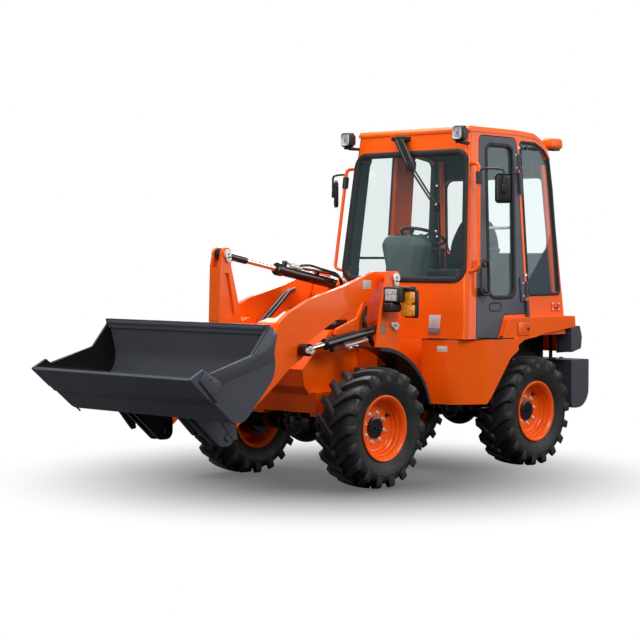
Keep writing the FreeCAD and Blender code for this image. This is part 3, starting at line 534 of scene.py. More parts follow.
def block(low, high, edge=0.003, segments=2):
    # a box between two corners with rounded edges
    clearSelection()
    low, high = Vector(low), Vector(high)
    bpy.ops.mesh.primitive_cube_add(size=1, location=(low + high) / 2, scale=high - low)
    piece = bpy.context.object
    settle(piece)
    if edge > 0:
        editAll(piece)
        bpy.ops.mesh.bevel(offset=edge, segments=segments, affect="EDGES", clamp_overlap=True)
        leaveEdit()
    return piece


def slab(middle, half, ys, zs, edge, segments):
    # a block that reaches half to each side of its middle across the machine
    return block(spot(middle - half, ys[0], zs[0]), spot(middle + half, ys[1], zs[1]), edge, segments)


def moved(piece, matrix):
    piece.data.transform(matrix)
    piece.data.update()
    return piece


def copyOf(piece, matrix=None):
    # its own mesh, not a shared one
    twin = piece.copy()
    twin.data = piece.data.copy()
    bpy.context.scene.collection.objects.link(twin)
    if matrix is not None:
        moved(twin, matrix)
        if matrix.determinant() < 0:
            twin.data.flip_normals()
    return twin


def madeOf(name, points, edges, faces):
    clearSelection()
    data = bpy.data.meshes.new(name)
    data.from_pydata([tuple(point) for point in points], edges, faces)
    piece = bpy.data.objects.new(name, data)
    bpy.context.scene.collection.objects.link(piece)
    return piece


mirrorX = Matrix.Scale(-1, 4, Vector((1, 0, 0)))


def turnAbout(centre, axis, degrees):
    there = Matrix.Translation(Vector(centre))
    return there @ Matrix.Rotation(math.radians(degrees), 4, Vector(axis)) @ there.inverted()


def outlineCurve(points, closed, bends, segments=8):
    # a path through the points, its corners rounded: bends is one radius or one for each point
    last = len(points) if closed else len(points) - 1
    path = madeOf("path", points, [(i, (i + 1) % len(points)) for i in range(last)], [])
    if not hasattr(bends, "__len__"):
        bends = [bends] * len(points)
    for i in reversed(range(len(points))):
        if bends[i] <= 0 or (not closed and i in (0, len(points) - 1)):
            continue
        before = (Vector(points[i - 1]) - Vector(points[i])).normalized()
        after = (Vector(points[(i + 1) % len(points)]) - Vector(points[i])).normalized()
        offset = bends[i] / math.tan(before.angle(after) / 2)
        editAll(path)
        bpy.ops.mesh.select_all(action="DESELECT")
        leaveEdit()
        nearest = min(path.data.vertices, key=lambda v: (v.co - Vector(points[i])).length)
        nearest.select = True
        bpy.ops.object.mode_set(mode="EDIT")
        bpy.ops.mesh.select_mode(type="VERT")
        bpy.ops.mesh.bevel(offset=offset, offset_type="OFFSET", segments=segments, affect="VERTICES",
                           clamp_overlap=False)
        leaveEdit()
    return path


def barAlong(points, radius, bends=0, closed=False, segments=8, sides=4):
    # a round bar bent along the points
    path = outlineCurve(points, closed, bends, segments)
    pickOnly(path)
    bpy.ops.object.convert(target="CURVE")
    bar = bpy.context.object
    bar.data.bevel_depth = radius
    bar.data.bevel_resolution = sides
    bar.data.use_fill_caps = not closed
    bpy.ops.object.convert(target="MESH")
    bar = bpy.context.object
    faceOut(bar)
    return bar


def gasket(points, width, height, bends, normal, closed=True):
    # a rubber band laid on a window's edge: a bar pressed flat along the wall's normal
    bar = barAlong(points, width / 2, bends, closed)
    normal = Vector(normal).normalized()
    centre = sum((Vector(p) for p in points), Vector()) / len(points)
    flat = Matrix.Scale(height / width, 4, normal)
    return moved(bar, Matrix.Translation(centre) @ flat @ Matrix.Translation(-centre))


def hexBolt(place, direction, size=0.012, washer=True):
    # a hexagon head on its washer
    rings = [(0, size * 0.95), (size * 0.62, size * 0.95), (size * 0.72, size * 0.8)]
    head = turned(place, direction, rings, 6)
    if not washer:
        return head
    flange = stub(place, direction, [(size * 0.16, size * 1.35), (size * 0.2, size * 1.25)], 20)
    return joined([head, flange], "bolt")


# wheels: lugged tyres on deep rims

tyre = {"halfWidth": 0.150, "outer": 0.4245, "lugs": 18, "lugSweep": 17.0, "segments": 96}
tyreProfile = [(0.112, 0.207), (0.122, 0.212), (0.126, 0.226), (0.121, 0.234), (0.129, 0.250), (0.141, 0.272),
               (0.1475, 0.296), (0.1485, 0.300), (0.1485, 0.306), (0.1505, 0.310), (0.1515, 0.330), (0.1495, 0.350),
               (0.142, 0.366), (0.128, 0.378), (0.104, 0.386), (0.060, 0.392), (0.0, 0.394)]


def makeCarcass():
    rings = tyreProfile + [(-x, r) for x, r in tyreProfile[-2::-1]]
    return turned((0, 0, 0), (1, 0, 0), rings, tyre["segments"], open=True)


def lugStation(t):
    # along a lug, 0 at its foot on the sidewall and 1 at its inner end: x, base and top radius, turn, half width
    if t < 0.12:
        s = t / 0.12
        return (0.1542 - 0.004 * s, 0.334 + 0.012 * s, 0.396 + 0.014 * s, 0.0, 0.027 - 0.001 * s)
    s = (t - 0.12) / 0.88
    x = (tyre["halfWidth"] - 0.002) * (1 - s) - 0.008 * s
    crown = tyre["outer"] - 0.0135 * (1 - s) ** 2.5
    base = 0.380 - 0.034 * (1 - s) ** 2
    turn = tyre["lugSweep"] * (0.25 * s + 0.75 * s ** 1.3)
    return (x, base, crown, turn, 0.0258 - 0.0065 * s)


def makeLug():
    # one bar of the chevron tread, from its foot on the shoulder to its tip past the middle
    clearSelection()
    bpy.ops.mesh.primitive_cube_add(size=1)
    lug = bpy.context.object
    editAll(lug)
    bpy.ops.mesh.select_all(action="DESELECT")
    leaveEdit()
    for edge in lug.data.edges:
        ends = [lug.data.vertices[i].co for i in edge.vertices]
        edge.select = abs(ends[0].x - ends[1].x) > 0.5
    bpy.ops.object.mode_set(mode="EDIT")
    bpy.ops.mesh.select_mode(type="EDGE")
    bpy.ops.mesh.subdivide(number_cuts=8)
    leaveEdit()
    for vertex in lug.data.vertices:
        t = vertex.co.x + 0.5
        onTop = vertex.co.z > 0
        x, base, top, turn, half = lugStation(t)
        across = math.copysign(half if onTop else half + 0.006, vertex.co.y)
        radius = top if onTop else base
        if t < 0.001:
            x += 0.003 if onTop else 0.0
        angle = math.radians(turn) + across / radius
        vertex.co = (x, -radius * math.sin(angle), radius * math.cos(angle))
    faceOut(lug)
    softEdges(lug, 0.0035, 2, 25)
    return lug


def makeTread():
    lug = makeLug()
    step = 360 / tyre["lugs"]
    lugs = [lug]
    lugs += [copyOf(lug, Matrix.Rotation(math.radians(i * step), 4, "X")) for i in range(1, tyre["lugs"])]
    lugs += [copyOf(lug, Matrix.Rotation(math.radians((i + 0.5) * step), 4, "X") @ mirrorX)
             for i in range(tyre["lugs"])]
    return joined(lugs, "tread")


rimProfile = [(-0.134, 0.2275), (-0.131, 0.231), (-0.124, 0.231), (-0.119, 0.224), (-0.117, 0.208), (-0.085, 0.202),
              (0.075, 0.200), (0.115, 0.207), (0.119, 0.224), (0.124, 0.231), (0.131, 0.231), (0.134, 0.2265),
              (0.134, 0.222), (0.130, 0.214), (0.123, 0.208), (0.119, 0.205), (0.113, 0.1985), (0.109, 0.197),
              (0.088, 0.1955), (0.0855, 0.194), (0.083, 0.187), (0.080, 0.1855), (0.059, 0.184), (0.056, 0.182),
              (0.052, 0.172), (0.049, 0.170), (0.040, 0.168), (0.035, 0.164), (0.031, 0.157), (0.030, 0.148),
              (0.030, 0.060)]
rimBack = [(0.020, 0.060), (0.020, 0.158), (0.026, 0.170), (0.034, 0.187), (0.044, 0.190), (0.052, 0.192),
           (0.060, 0.197), (-0.085, 0.197), (-0.116, 0.203), (-0.134, 0.2275)]
hub = {"capRadius": 0.077, "capStart": 0.018, "capLength": 0.028, "disc": 0.030, "studCircle": 0.103, "studs": 8,
       "nut": 0.0150}


def makeRim():
    # its dished disc lies deep in the barrel; positive x is the outer side
    shell = turned((0, 0, 0), (1, 0, 0), rimProfile + rimBack, 96, open=True)
    faceOut(shell)
    return shell


def makeNuts():
    nuts = []
    for i in range(hub["studs"]):
        angle = math.radians(22.5 + i * 360 / hub["studs"])
        place = Vector((hub["disc"], hub["studCircle"] * math.cos(angle), hub["studCircle"] * math.sin(angle)))
        size = hub["nut"]
        nut = turned(place, (1, 0, 0), [(0, size * 1.2), (0.002, size * 1.18), (0.003, size)], 20)
        hexagon = turned(place, (1, 0, 0), [(0.002, size * 0.98), (0.009, size * 0.98), (0.011, size * 0.86)], 6)
        stud = turned(place, (1, 0, 0), [(0.010, size * 0.72), (0.014, size * 0.64), (0.0175, size * 0.4)], 20)
        nuts += [nut, hexagon, stud]
    return joined(nuts, "nuts")


def makeCap():
    wide = hub["capRadius"]
    start = hub["capStart"]
    face = start + hub["capLength"]
    rings = [(start, wide), (face - 0.008, wide), (face - 0.002, wide - 0.003), (face, wide - 0.009),
             (face, wide - 0.026), (face - 0.003, wide - 0.028)]
    cap = turned((0, 0, 0), (1, 0, 0), rings, 64)
    plug = stub((face - 0.004, 0, 0), (1, 0, 0), [(0.01, 0.012), (0.012, 0.01)], 6)
    filler = stub((face - 0.004, 0.04, -0.018), (1, 0, 0), [(0.009, 0.008), (0.01, 0.006)], 6)
    return joined([cap, plug, filler], "cap")


def makeValve():
    # a round opening in the disc with the tyre's valve standing in it
    ring = stub((0.029, 0.134, 0.062), (1, 0, 0), [(0.004, 0.015), (0.005, 0.013)])
    stem = stub((0.03, 0.134, 0.062), (1, 0, 0), [(0.026, 0.005), (0.027, 0.0062), (0.038, 0.0062), (0.039, 0.005)],
                16)
    return joined([ring, stem], "valve")


def makeWheels():
    carcass = makeCarcass()
    tread = makeTread()
    whole = joined([carcass, tread], "tyreModel")
    rim = makeRim()
    nuts = makeNuts()
    cap = makeCap()
    valve = makeValve()
    for end in ("front", "rear"):
        for side in ("left", "right"):
            body = "wheel_" + end + "_" + side
            centre = jointAt[body]
            place = Matrix.Translation(centre)
            if side == "right":
                place = place @ mirrorX
            spun = place @ Matrix.Rotation(math.radians(7 if end == "front" else 31), 4, "X")
            name = end + side.capitalize()
            piece = doneWith(copyOf(whole, spun), "tyre" + name, tyreRubber, body, smooth=40)
            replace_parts(piece, "tyre_" + end + "_" + side)
            piece = doneWith(copyOf(rim, spun), "rim" + name, orangePaint, body, smooth=40)
            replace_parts(piece, "rim_" + end + "_" + side)
            doneWith(copyOf(nuts, spun), "wheelNuts" + name, zincSteel, body, smooth=30)
            doneWith(copyOf(cap, spun), "hubCap" + name, blackPaint, body, smooth=30)
            doneWith(copyOf(valve, spun), "valve" + name, blackPlastic, body, smooth=40)
    for model in (whole, rim, nuts, cap, valve):
        bpy.data.objects.remove(model)


makeWheels()
print("wheels ready")


# cab: seals, door fittings, rails, mirrors, lamps and wiper

def leaning(z, low, high):
    return low + (high - low) * (z - cab["low"]) / (cab["high"] - cab["low"])


def sideSpot(y, z, out=0.0, hand=1):
    return Vector((hand * (leaning(z, cab["halfLow"], cab["halfHigh"]) + out), y + pinY, z))


def frontSpot(x, z, out=0.0):
    return Vector((x, leaning(z, cab["frontLow"], cab["frontHigh"]) - out + pinY, z))


def rearSpot(x, z, out=0.0):
    return Vector((x, leaning(z, cab["rearLow"], cab["rearHigh"]) + out + pinY, z))


sideOut = Vector((1.0, 0, cab["sideRise"])).normalized()
frontOut = Vector((0, -1.0, cab["frontRise"])).normalized()
rearOut = Vector((0, 1.0, cab["rearRise"])).normalized()

quarterGlass = [(0.923, 1.316), (1.337, 1.316), (1.312, 2.141), (1.292, 2.367), (1.229, 2.446), (1.121, 2.492),
                (0.923, 2.496)]
quarterBends = [0.03, 0.03, 0.3, 0.06, 0.06, 0.06, 0.03]
windowSeals = {
    "windshieldSeal": {"wall": frontSpot, "out": frontOut, "width": 0.050, "height": 0.020,
                       "outline": [(-0.604, 1.436), (0.604, 1.436), (0.538, 2.398), (-0.538, 2.398)],
                       "bends": [0.10, 0.10, 0.09, 0.09]},
    "rearWindowSeal": {"wall": rearSpot, "out": rearOut, "width": 0.034, "height": 0.018,
                       "outline": [(-0.528, 1.622), (0.528, 1.622), (0.506, 2.250), (-0.506, 2.250)],
                       "bends": [0.09] * 4},
    "rightFrontSeal": {"wall": sideSpot, "out": sideOut, "hand": -1, "width": 0.034, "height": 0.018,
                       "bends": [0.05] * 4,
                       "outline": [(0.327, 1.342), (0.738, 1.342), (0.738, 2.453), (0.427, 2.458)]},
    "rightRearSeal": {"wall": sideSpot, "out": sideOut, "hand": -1, "width": 0.034, "height": 0.018,
                      "bends": [0.05, 0.05, 0.08, 0.05],
                      "outline": [(0.952, 1.342), (1.274, 1.342), (1.235, 2.399), (0.952, 2.443)]},
    "leftRearSeal": {"wall": sideSpot, "out": sideOut, "width": 0.024, "height": 0.016,
                     "outline": quarterGlass, "bends": quarterBends},
}
doorSeal = {"outline": [(0.422, 1.302), (0.744, 1.302), (0.830, 2.458), (0.490, 2.460)], "bends": [0.07] * 4,
            "width": 0.030, "height": 0.016}


def wallPoints(seal, out=0.0):
    wall = seal.get("wall", sideSpot)
    if "hand" in seal:
        return [wall(a, b, out, seal["hand"]) for a, b in seal["outline"]]
    return [wall(a, b, out) for a, b in seal["outline"]]


def makeSeals():
    for name, seal in windowSeals.items():
        normal = seal["out"]
        if seal.get("hand") == -1:
            normal = Vector((-normal.x, normal.y, normal.z))
        doneWith(gasket(wallPoints(seal), seal["width"], seal["height"], seal["bends"], normal), name, sealRubber)
    # the door's seal is on its outer face, with a slimmer one inside the reveal
    outer = gasket(wallPoints(doorSeal, 0.001), doorSeal["width"], doorSeal["height"], doorSeal["bends"], sideOut)
    inner = gasket(wallPoints(doorSeal, -0.016), 0.022, 0.020, doorSeal["bends"], sideOut)
    doneWith([outer, inner], "doorSeal", sealRubber, "door_body")


def plateOn(centre, normal, wide, high, thick, edge):
    # a rounded plate lying on a wall: wide runs across, high runs up it
    plate = block((0, -wide / 2, -high / 2), (thick, wide / 2, high / 2), 0)
    editAll(plate)
    bpy.ops.mesh.select_all(action="DESELECT")
    leaveEdit()
    for line in plate.data.edges:
        ends = [plate.data.vertices[i].co for i in line.vertices]
        line.select = abs(ends[0].x - ends[1].x) > thick * 0.5
    bpy.ops.object.mode_set(mode="EDIT")
    bpy.ops.mesh.select_mode(type="EDGE")
    bpy.ops.mesh.bevel(offset=edge, segments=6, affect="EDGES")
    leaveEdit()
    softEdges(plate, min(thick * 0.3, 0.004), 2, 50)
    normal = Vector(normal).normalized()
    across = Vector((0, 0, 1)).cross(normal).normalized()
    up = normal.cross(across)
    basis = Matrix((normal, across, up)).transposed().to_4x4()
    return moved(plate, Matrix.Translation(centre) @ basis)


def makeDoorFittings():
    loop = barAlong([sideSpot(0.296, 1.580, 0.040), sideSpot(0.392, 1.580, 0.040), sideSpot(0.376, 1.326, 0.040),
                     sideSpot(0.280, 1.326, 0.040)], 0.0105, 0.030, True)
    mounts = [plateOn(sideSpot(0.345, 1.555, -0.001), sideOut, 0.050, 0.050, 0.045, 0.012),
              plateOn(sideSpot(0.330, 1.352, -0.001), sideOut, 0.050, 0.056, 0.045, 0.012)]
    button = stub(sideSpot(0.33, 1.352, 0.04), sideOut, [(0.01, 0.016), (0.012, 0.013)])
    doneWith([loop, button] + mounts, "doorHandle", blackPlastic, "door_body")
    doneWith(stub(sideSpot(0.352, 1.28, -0.001), sideOut, [(0.004, 0.011), (0.005, 0.009)]), "doorLock", darkSteel,
             "door_body")
    doneWith(gasket([sideSpot(0.425, 1.262), sideSpot(0.566, 1.262), sideSpot(0.562, 1.203), sideSpot(0.421, 1.203)],
                    0.011, 0.008, 0.018, sideOut), "doorRecessFrame", blackPlastic, "door_body")
    doneWith(barAlong([sideSpot(0.452, 1.84, -0.03), sideSpot(0.48, 1.83, -0.085), sideSpot(0.78, 1.83, -0.085),
                       sideSpot(0.815, 1.84, -0.03)], 0.011, 0.03), "doorPullBar", zincSteel, "door_body")


hingeHeights = (1.358, 2.342)


def makeHinges():
    leaves = []
    bolts = []
    for z in hingeHeights:
        leaves.append(plateOn(sideSpot(0.846, z, -0.001), sideOut, 0.060, 0.190, 0.013, 0.010))
        barrel = sideSpot(0.884, z - 0.085, 0.014)
        leaves.append(stub(barrel, sideOut.cross(Vector((0, 1, 0))) * -1, [(0.17, 0.0155)]))
        for rise in (-0.108, 0.108):
            bolts.append(hexBolt(sideSpot(0.905, z + rise, 0.001), sideOut, 0.0105))
        for rise in (-0.05, 0.05):
            bolts.append(hexBolt(sideSpot(0.846, z + rise, 0.012), sideOut, 0.007, False))
    doneWith(leaves, "doorHinges", charcoalPaint, "door_body")
    doneWith(bolts, "hingeBolts", zincSteel)


rail = {"radius": 0.0135, "points": [(0.302, 2.306, -0.008), (0.276, 2.300, 0.088), (0.200, 1.520, 0.088),
                                     (0.212, 1.497, -0.010)]}
roofLight = {"x": 0.557, "face": 0.150, "z": 2.525}
mirrorPlace = {"centre": (0.846, 0.330, 2.113), "wide": 0.124, "high": 0.216, "thick": 0.030, "turn": 43}


def makeRails():
    for side, label, hand in bothSides:
        piece = doneWith(barAlong([sideSpot(y, z, out, hand) for y, z, out in rail["points"]], rail["radius"],
                                  0.035), "grabRail" + label, orangePaint)
        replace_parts(piece, "mirror_" + side)
        makeMirror(label, hand)


def makeMirror(label, hand):
    x, y, z = mirrorPlace["centre"]
    head = plateOn((0, 0, 0), (1, 0, 0), mirrorPlace["wide"], mirrorPlace["high"], mirrorPlace["thick"], 0.028)
    glass = plateOn((mirrorPlace["thick"], 0, 0), (1, 0, 0), mirrorPlace["wide"] - 0.016,
                    mirrorPlace["high"] - 0.016, 0.0012, 0.022)
    # the looking glass faces the driver, behind it the arm runs down to a clamp
    place = Matrix.Translation((x, y + pinY, z)) @ Matrix.Rotation(math.radians(90 + mirrorPlace["turn"]), 4, "Z")
    back = place @ Vector((-0.010, 0, 0.02))
    arm = barAlong([sideSpot(0.268, 2.205, 0.086), sideSpot(0.276, 2.262, 0.105), sideSpot(0.300, 2.262, 0.200),
                    (back.x, back.y, 2.255), back], 0.0085, 0.028)
    clamp = plateOn(place @ Vector((-0.020, 0, 0.0)), place.to_3x3() @ Vector((1, 0, 0)), 0.030, 0.060, 0.022, 0.008)
    bracket = barAlong([sideSpot(0.266, 2.15, 0.088), sideSpot(0.272, 2.24, 0.088)], 0.024)
    pieces = [moved(head, place), arm, clamp, bracket]
    glass = moved(glass, place)
    if hand < 0:
        for piece in pieces + [glass]:
            moved(piece, mirrorX)
            piece.data.flip_normals()
    doneWith(pieces, "mirror" + label, blackPlastic)
    doneWith(glass, "mirrorGlass" + label, chromeSteel)


def makeRoofLights():
    # a rounded housing on a stay at each front corner of the roof, with its lens, rim and visor ribs
    for side, label, hand in bothSides:
        x = hand * roofLight["x"]
        y = roofLight["face"] + pinY
        z = roofLight["z"]
        housing = [block((x - 0.052, y, z - 0.056), (x + 0.052, y + 0.052, z + 0.056), 0.018, 5),
                   block((x - 0.04, y + 0.045, z - 0.042), (x + 0.04, y + 0.08, z + 0.042), 0.016, 4),
                   block((x - 0.04, y + 0.02, z - 0.072), (x + 0.04, y + 0.06, z - 0.056), 0.004, 2),
                   barAlong([(x, y + 0.04, z - 0.068), (x - hand * 0.02, y + 0.18, z - 0.068)], 0.012),
                   gasket([(x - 0.043, y, z - 0.047), (x + 0.043, y, z - 0.047), (x + 0.043, y, z + 0.047),
                           (x - 0.043, y, z + 0.047)], 0.016, 0.016, 0.02, (0, -1, 0))]
        for i in range(4):
            housing.append(block((x - 0.03, y + 0.078, z - 0.032 + 0.018 * i),
                                 (x + 0.03, y + 0.088, z - 0.026 + 0.018 * i), 0.002, 1))
        housing = doneWith(housing, "roofLight" + label, blackPlastic)
        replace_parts(housing, "roof_light_" + side)
        doneWith(plateOn((x, y + 0.004, z), (0, -1, 0), 0.08, 0.088, 0.008, 0.022), "roofLens" + label, clearLens)
        doneWith(stub((x, y - 0.004, z), (0, -1, 0), [(0.001, 0.017)], 32), "roofBulb" + label, chromeSteel,
                 slot=None)


def makeWiper():
    motor = [plateOn(frontSpot(-0.085, 2.512, -0.004), frontOut, 0.150, 0.040, 0.030, 0.010)]
    for x in (-0.145, -0.030):
        motor.append(stub(frontSpot(x, 2.512, 0.0), frontOut, [(0.052, 0.02), (0.055, 0.016)]))
    arms = [barAlong([frontSpot(x, 2.505, 0.05), frontSpot(x + 0.15, 2.29, 0.06)], 0.0145)
            for x in (-0.115, -0.055)]
    arms.append(gasket([frontSpot(-0.09, 2.5, 0.05), frontSpot(0.064, 2.3, 0.052)], 0.056, 0.014, 0, frontOut,
                       False))
    arms.append(plateOn(frontSpot(0.062, 2.300, 0.045), frontOut, 0.080, 0.070, 0.028, 0.010))
    for x, low in ((0.045, 0.318), (0.080, 0.345)):
        arms.append(barAlong([frontSpot(x, 2.29, 0.06), frontSpot(low, 1.985, 0.052)], 0.0075))
    blade = [barAlong([frontSpot(0.3, 2.32, 0.022), frontSpot(0.385, 1.575, 0.022)], 0.0085),
             barAlong([frontSpot(0.318, 2.18, 0.038), frontSpot(0.367, 1.74, 0.038)], 0.0055),
             plateOn(frontSpot(0.334, 1.985, 0.026), frontOut, 0.03, 0.07, 0.032, 0.008)]
    doneWith(motor + arms + blade, "wiper", blackPlastic)
    screws = [stub(frontSpot(x, z, 0.052), frontOut, [(0.01, 0.0075), (0.012, 0.005)], 16)
              for x, z in ((0.334, 2.0), (0.352, 1.8), (0.326, 2.14), (0.365, 1.76))]
    doneWith(screws, "wiperScrews", zincSteel)


def makeRearLampArms():
    # orange arms that carry a lamp behind the roof's rear corners
    for side, label, hand in bothSides:
        arm = block((hand * 0.555 - 0.060, 1.290 + pinY, 2.462), (hand * 0.555 + 0.030, 1.470 + pinY, 2.546), 0)
        softEdges(arm, 0.026, 5)
        doneWith(arm, "rearLampArm" + label, orangePaint)
        doneWith(block((hand * 0.555 - 0.045, 1.35 + pinY, 2.45), (hand * 0.555 + 0.018, 1.44 + pinY, 2.468), 0.004),
                 "rearLampSeat" + label, blackPlastic)
        doneWith(plateOn((hand * 0.545, 1.466 + pinY, 2.496), (0, 1, 0), 0.06, 0.04, 0.008, 0.014),
                 "rearWorkLens" + label, clearLens)
    latch = [barAlong([sideSpot(0.992, 2.452, 0.006), sideSpot(1.08, 2.456, 0.016), sideSpot(1.186, 2.448, 0.006)],
                      0.0075, 0.02),
             stub(sideSpot(0.996, 2.452, 0.0), sideOut, [(0.014, 0.015), (0.017, 0.011)])]
    doneWith(latch, "windowLatch", blackPlastic)


def makeSideMarkers():
    # a small lamp held by four bolts in the band under each rear side window
    for side, label, hand in bothSides:
        normal = Vector((hand * sideOut.x, 0, sideOut.z))
        centre = sideSpot(1.272, 1.219, 0.0, hand)
        doneWith(plateOn(centre, normal, 0.112, 0.074, 0.006, 0.008), "markerSeat" + label, orangePaint)
        doneWith(plateOn(centre, normal, 0.046, 0.04, 0.014, 0.006), "markerLamp" + label, redLens)
        bolts = [stub(sideSpot(y, z, 0.004, hand), normal, [(0.005, 0.008), (0.006, 0.006)], 16)
                 for y in (1.23, 1.314) for z in (1.196, 1.242)]
        doneWith(bolts, "markerBolts" + label, zincSteel)


makeSeals()
makeDoorFittings()
makeHinges()
makeRails()
makeRoofLights()
makeWiper()
makeRearLampArms()
makeSideMarkers()
print("cab fittings ready")


# front: pins, hoses, ram fittings, lamps

pinEnds = {  # body, place, radius, direction of the lobe
    "tiltFrontPin": ("bellcrank_body", (0.062, -1.730, 1.628), 0.031, (0, 0.24, -0.97)),
    "tiltRearPin": ("front_body", (0.060, -0.558, 1.404), 0.026, (0, 0.1, 0.99)),
    "boomPin": ("front_body", (0.432, -0.400, 1.458), 0.036, (0, 0, -1)),
    "liftRearPin": ("front_body", (0.432, -0.405, 1.110), 0.030, (0, -0.9, 0.3)),
    "crankPin": ("bellcrank_body", (0.096, -1.548, 1.046), 0.030, (0, 1, 0)),
    "linkRearPin": ("bellcrank_body", (0.060, -1.475, 0.776), 0.030, (0, 0, 1)),
}


def pinEnd(at, hand, radius, tab):
    # a round keeper with a smaller lobe bolted beside it, and the grease hole in the middle
    centre = spot(hand * at[0], at[1], at[2])
    out = Vector((hand, 0, 0))
    lobe = centre + Vector(tab).normalized() * radius * 1.12
    plate = turned(centre, out, [(-0.004, radius), (0.006, radius), (0.008, radius * 0.94)], 40)
    ear = turned(lobe, out, [(-0.004, radius * 0.68), (0.006, radius * 0.68), (0.008, radius * 0.62)], 32)
    bolt = hexBolt(lobe + out * 0.006, out, radius * 0.30, False)
    hole = stub(centre + out * 0.004, out, [(0.0046, radius * 0.24)], 20)
    return [plate, ear, bolt], hole


def makePins():
    for name, (body, at, radius, tab) in pinEnds.items():
        plates = []
        holes = []
        for hand in (-1, 1):
            metal, hole = pinEnd(at, hand, radius, tab)
            plates += metal
            holes.append(hole)
        doneWith(plates, name, zincSteel, body)
        doneWith(holes, name + "Holes", darkSteel, body)
    for side, label, hand in bothSides:
        metal, hole = pinEnd((0.410, -1.280, 0.970), hand, 0.027, (0, -1, -0.1))
        doneWith(metal, "liftFrontPin" + label, zincSteel, "lift_rod_body_" + side)
        doneWith(hole, "liftFrontHole" + label, darkSteel, "lift_rod_body_" + side)


def blackEye(nodeName, pin, reach):
    # the forged eye of a ram's rod is painted black
    mesh = frame["nodes"][nodeName].data
    mesh.materials.append(blackPaint)
    centre = spot(*pin)
    for face in mesh.polygons:
        if (face.center - centre).length < reach:
            face.material_index = 1


def roundedPath(points, share, steps=10):
    # the runs between the points with each corner turned on an arc
    points = [Vector(p) for p in points]
    path = [points[0]]
    for before, here, after in zip(points, points[1:], points[2:]):
        back, ahead = before - here, after - here
        reach = share * min(back.length, ahead.length)
        half = back.angle(ahead) / 2
        back.normalize()
        ahead.normalize()
        radius = reach * math.tan(half)
        centre = here + (back + ahead).normalized() * (radius / math.sin(half))
        start, end = here + back * reach - centre, here + ahead * reach - centre
        turn = start.angle(end)
        for step in range(steps + 1):
            part = step / steps
            path.append(centre + (start * math.sin((1 - part) * turn) + end * math.sin(part * turn)) / math.sin(turn))
    path.append(points[-1])
    return path


def tubeAlong(path, radius):
    data = bpy.data.curves.new("tube", "CURVE")
    data.dimensions = "3D"
    run = data.splines.new("POLY")
    run.points.add(len(path) - 1)
    for point, place in zip(run.points, path):
        point.co = (*place, 1)
    data.bevel_depth = radius
    data.bevel_resolution = 5
    data.use_fill_caps = True
    tube = bpy.data.objects.new("tube", data)
    bpy.context.scene.collection.objects.link(tube)
    pickOnly(tube)
    bpy.ops.object.convert(target="MESH")
    tube = bpy.context.object
    faceOut(tube)
    return tube


boomHoses = {
    "boom_hose_outer": [(-0.284, -0.775, 1.352), (-0.225, -0.830, 1.362), (-0.160, -0.945, 1.348),
                        (-0.141, -1.095, 1.244), (-0.140, -1.215, 1.150), (-0.140, -1.318, 1.084)],
    "boom_hose_inner": [(-0.284, -0.722, 1.364), (-0.215, -0.790, 1.374), (-0.130, -0.930, 1.360),
                        (-0.101, -1.080, 1.254), (-0.100, -1.210, 1.154), (-0.100, -1.318, 1.084)],
}


def makeBoomHoses():
    for nodeName, points in boomHoses.items():
        path = roundedPath([spot(*p) for p in points], 0.45)
        name = nodeName.replace("_h", "H").replace("_o", "O").replace("_i", "I")
        hose = doneWith(tubeAlong(path, 0.012), name, blackPlastic, "boom_body", smooth=60)
        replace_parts(hose, nodeName)
        fittings = []
        for near, far in ((path[-1], path[-2]), (path[0], path[1])):
            run = (far - near).normalized()
            fittings.append(stub(near + run * 0.004, run, [(0.052, 0.0155), (0.055, 0.0135)]))
            fittings.append(stub(near + run * 0.01, run, [(0.016, 0.0185)], 6))
        fitting = doneWith(fittings, name + "Ends", zincSteel, "boom_body")


def alongRam(rear, front, distance, drop, x):
    run = (Vector(front) - Vector(rear)).normalized()
    down = Vector((0, run.z, -run.y)) if run.y > 0 else Vector((0, -run.z, run.y))
    return Vector(rear) + run * distance + down * drop + Vector((x, 0, 0))


def makeRamFittings():
    # the lift rams: a port under the gland, a steel pipe back along the barrel, couplings
    for side, label, hand in bothSides:
        rear, front = spot(hand * 0.364, -0.405, 1.110), spot(hand * 0.364, -1.280, 0.970)

        def at(distance, drop, x=0.0):
            return alongRam(rear, front, distance, drop, hand * x)

        run = (front - rear).normalized()
        black = [stub(at(0.64, 0.03, 0.012), at(0, 1) - at(0, 0), [(0.032, 0.016), (0.034, 0.012)]),
                 barAlong([at(0.64, 0.056, 0.012), at(0.56, 0.056, 0.012), at(0.5, 0.05, 0.012)], 0.0085, 0.02),
                 stub(at(0.22, 0.03, 0.012), at(0, 1) - at(0, 0), [(0.03, 0.016)]),
                 stub(at(0.688, 0.0), run, [(0.006, 0.039), (0.01, 0.033)], 48)]
        silver = [stub(at(0.505, 0.051, 0.012), -run, [(0.055, 0.0115)], 6),
                  stub(at(0.45, 0.051, 0.012), -run, [(0.17, 0.009)]),
                  stub(at(0.3, 0.051, 0.012), -run, [(0.04, 0.0125)], 6),
                  stub(at(0.47, 0.072, 0.02), -run, [(0.09, 0.0105)])]
        doneWith(black, "liftPorts" + label, blackPaint, "lift_barrel_body_" + side)
        doneWith(silver, "liftPipes" + label, zincSteel, "lift_barrel_body_" + side)


